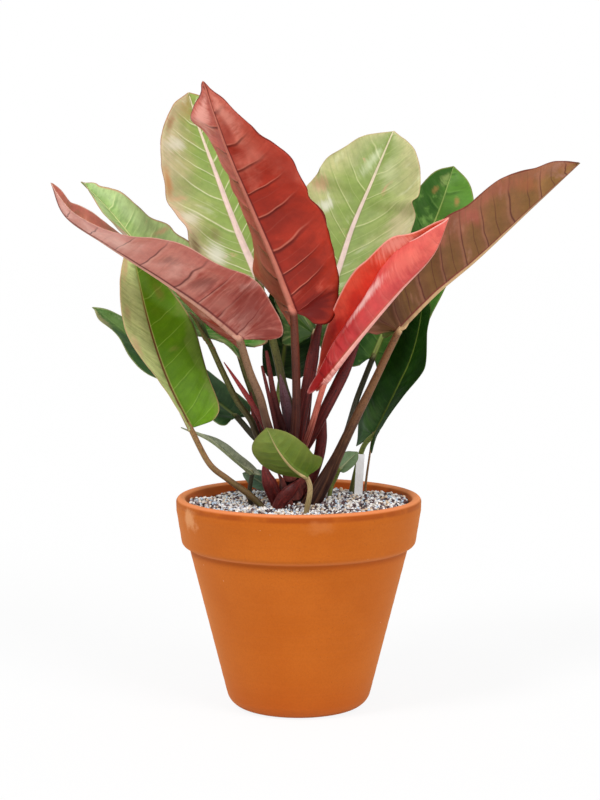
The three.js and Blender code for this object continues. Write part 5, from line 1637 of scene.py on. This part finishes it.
def buildGritGrains():
    tree, inputs, outputs = geometryTree("gritGrains", [
        ("Spacing", "Float", 3.0), ("Density", "Float", 150000.0), ("Size", "Float", 4.0),
        ("Seed", "Int", 11),
    ])
    sown = addNode(tree, "GeometryNodeDistributePointsOnFaces", {
        "Mesh": inputs["Geometry"], "Distance Min": times(tree, inputs["Spacing"], mm),
        "Density Max": inputs["Density"], "Seed": inputs["Seed"],
    }, distribute_method="POISSON").outputs["Points"]

    def draw(low, high, seed):
        # a random number, or a random vector where low is one
        kind, first, out = ("FLOAT_VECTOR", 0, 0) if isinstance(low, tuple) else ("FLOAT", 2, 1)
        sockets = {first: low, first + 1: high, "Seed": seed}
        return addNode(tree, "FunctionNodeRandomValue", sockets, data_type=kind).outputs[out]

    sown = nodeOut(tree, "GeometryNodeStoreNamedAttribute",
                   {"Geometry": sown, "Name": "shade", "Value": draw(0.0, 1.0, 3)})
    stone = nodeOut(tree, "GeometryNodeMeshIcoSphere", {"Radius": 0.5 * mm, "Subdivisions": 1})
    turn = draw((0, 0, 0), (fullTurn, fullTurn, fullTurn), 5)
    sides = draw(*grit["sides"], 7)
    size = scaled(tree, sides, times(tree, inputs["Size"], draw(*grit["sizes"], 9)))
    sockets = {"Points": sown, "Instance": stone, "Scale": size, "Rotation": turn}
    return endTree(tree, inputs, outputs, nodeOut(tree, "GeometryNodeInstanceOnPoints", sockets))


def grainMaterial():
    material, tree, shader = newMaterial("gritGrain", 0.75)
    ramp = addNode(tree, "ShaderNodeValToRGB", {0: readAttribute(tree, "shade")})
    ramp.color_ramp.interpolation = "CONSTANT"
    for place, colour in grit["colours"][2:]:
        ramp.color_ramp.elements.new(place)
    for element, (place, colour) in zip(ramp.color_ramp.elements, grit["colours"]):
        element.position, element.color = place, colour
    fleck = noiseAt(tree, objectPlace(tree), grit["fleckScale"], 2.0)
    share = ease(tree, fleck, *grit["fleckLevels"])
    fill(tree, shader.inputs["Base Color"], mixColours(tree, share, ramp.outputs[0], grit["fleck"]))
    bumpFrom(tree, shader, fleck, 0.3 * mm, 0.7)
    return material


def gritPoint(radius, angle, lower):
    # a point of the bed's surface, held inside the wall
    x, y = radius * math.cos(angle), radius * math.sin(angle)
    height = gritHeight(x, y) - lower
    held = min(1, (innerRadius(height) - grit["wallGap"]) / max(radius, 1))
    return (x * held, y * held, height)


def gritSurface(lower, edge):
    steps, rings = grit["steps"], grit["rings"]
    points = [gritPoint(0, 0, lower)]
    for ring in range(1, rings + 1):
        for step in range(steps):
            points.append(gritPoint(edge * ring / rings, fullTurn * step / steps, lower))
    faces = [[0, 1 + step, 1 + (step + 1) % steps] for step in range(steps)]
    for ring in range(rings - 1):
        for step in range(steps):
            a, b = 1 + ring * steps + step, 1 + ring * steps + (step + 1) % steps
            faces.append([a, a + steps, b + steps, b])
    return points, faces


def gritBed():
    points, faces = gritSurface(grit["sink"] * 3, grit["edge"])
    steps = grit["steps"]
    last, foot = len(points) - steps, len(points)
    radius = innerRadius(grit["foot"]) - grit["wallGap"]
    for step in range(steps):
        angle = fullTurn * step / steps
        points.append((radius * math.cos(angle), radius * math.sin(angle), grit["foot"]))
    points.append((0, 0, grit["foot"]))
    for step in range(steps):
        following = (step + 1) % steps
        faces.append([last + step, foot + step, foot + following, last + following])
        faces.append([foot + steps, foot + following, foot + step])
    # the bed's dark crumbs are painted shade for the gaps between the grains
    return meshPiece("gritBed", points, faces, crumbMaterial("gritGapShade", *grit["below"], 420.0, 0.9))


settle(gritBed(), "grit", "grit_layer")
surface = meshPiece("gritGrains", *gritSurface(-grit["sink"], grit["edge"] - grit["grainGap"]))
piece = bake(surface, buildGritGrains(), {
    "Spacing": grit["spacing"], "Density": grit["density"], "Size": grit["size"], "Seed": grit["seed"],
    "Material": grainMaterial(),
})
smooth(piece, False)
settle(piece, "grit")
print("grit grains made:", len(piece.data.polygons) // 20)


def repaint(node, material):
    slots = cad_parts[node].data.materials
    slots.clear()
    slots.append(material)


white = rgb(255, 255, 255)
repaint("potting_mix", crumbMaterial("pottingMix", rgb(34, 24, 18), rgb(88, 64, 46), 180.0, 0.95))
repaint("plant_label", crumbMaterial("labelPlastic", white, white, 60.0, 0.4))

# A plain white floor, soft light from both sides of the camera, and the photograph's camera
stage = {"floorSize": 30, "floorColour": (0.93, 0.93, 0.93, 1), "floorGlow": 0.88, "sky": 0.45,
         "lamps": {"left": {"turn": (44, 0, -48), "strength": 1.55, "angle": 18},
                   "right": {"turn": (52, 0, 40), "strength": 1.4, "angle": 30}}}
view = {"place": (0.0017, -2.7, 0.709), "tilt": 83.792, "lens": 60.79, "sensor": 24}


def buildFloor():
    bpy.ops.mesh.primitive_plane_add(size=stage["floorSize"])
    floor = bpy.context.object
    floor.name = "floor"
    material, tree, shader = newMaterial("floorPaint", 0.9, 0.1)
    shader.inputs["Base Color"].default_value = stage["floorColour"]
    glow = nodeOut(tree, "ShaderNodeEmission", {"Color": white, "Strength": 1.0})
    seen = addNode(tree, "ShaderNodeLightPath").outputs["Is Camera Ray"]
    sockets = {0: times(tree, seen, stage["floorGlow"]), 1: shader.outputs[0], 2: glow}
    blend = nodeOut(tree, "ShaderNodeMixShader", sockets)
    fill(tree, tree.nodes["Material Output"].inputs["Surface"], blend)
    floor.data.materials.append(material)


def buildLight():
    world = bpy.data.worlds.new("studio")
    scene.world = world
    world.use_nodes = True
    tree = world.node_tree
    seen = addNode(tree, "ShaderNodeLightPath").outputs["Is Camera Ray"]
    sky = tree.nodes["Background"]
    sky.inputs["Color"].default_value = white
    fill(tree, sky.inputs["Strength"], calc(tree, "MAXIMUM", seen, stage["sky"]))
    for side, values in stage["lamps"].items():
        light = bpy.data.lights.new(side + "Lamp", "SUN")
        light.energy, light.angle = values["strength"], math.radians(values["angle"])
        lamp = bpy.data.objects.new(side + "Lamp", light)
        lamp.rotation_euler = [math.radians(angle) for angle in values["turn"]]
        scene.collection.objects.link(lamp)


def buildCamera():
    lens = bpy.data.cameras.new("camera")
    lens.sensor_fit, lens.sensor_height, lens.lens = "VERTICAL", view["sensor"], view["lens"]
    camera = bpy.data.objects.new("camera", lens)
    camera.location = view["place"]
    camera.rotation_euler = (math.radians(view["tilt"]), 0, 0)
    scene.collection.objects.link(camera)
    scene.camera = camera
    scene.view_settings.view_transform = "Standard"


buildFloor()
buildLight()
buildCamera()
print("stage set")
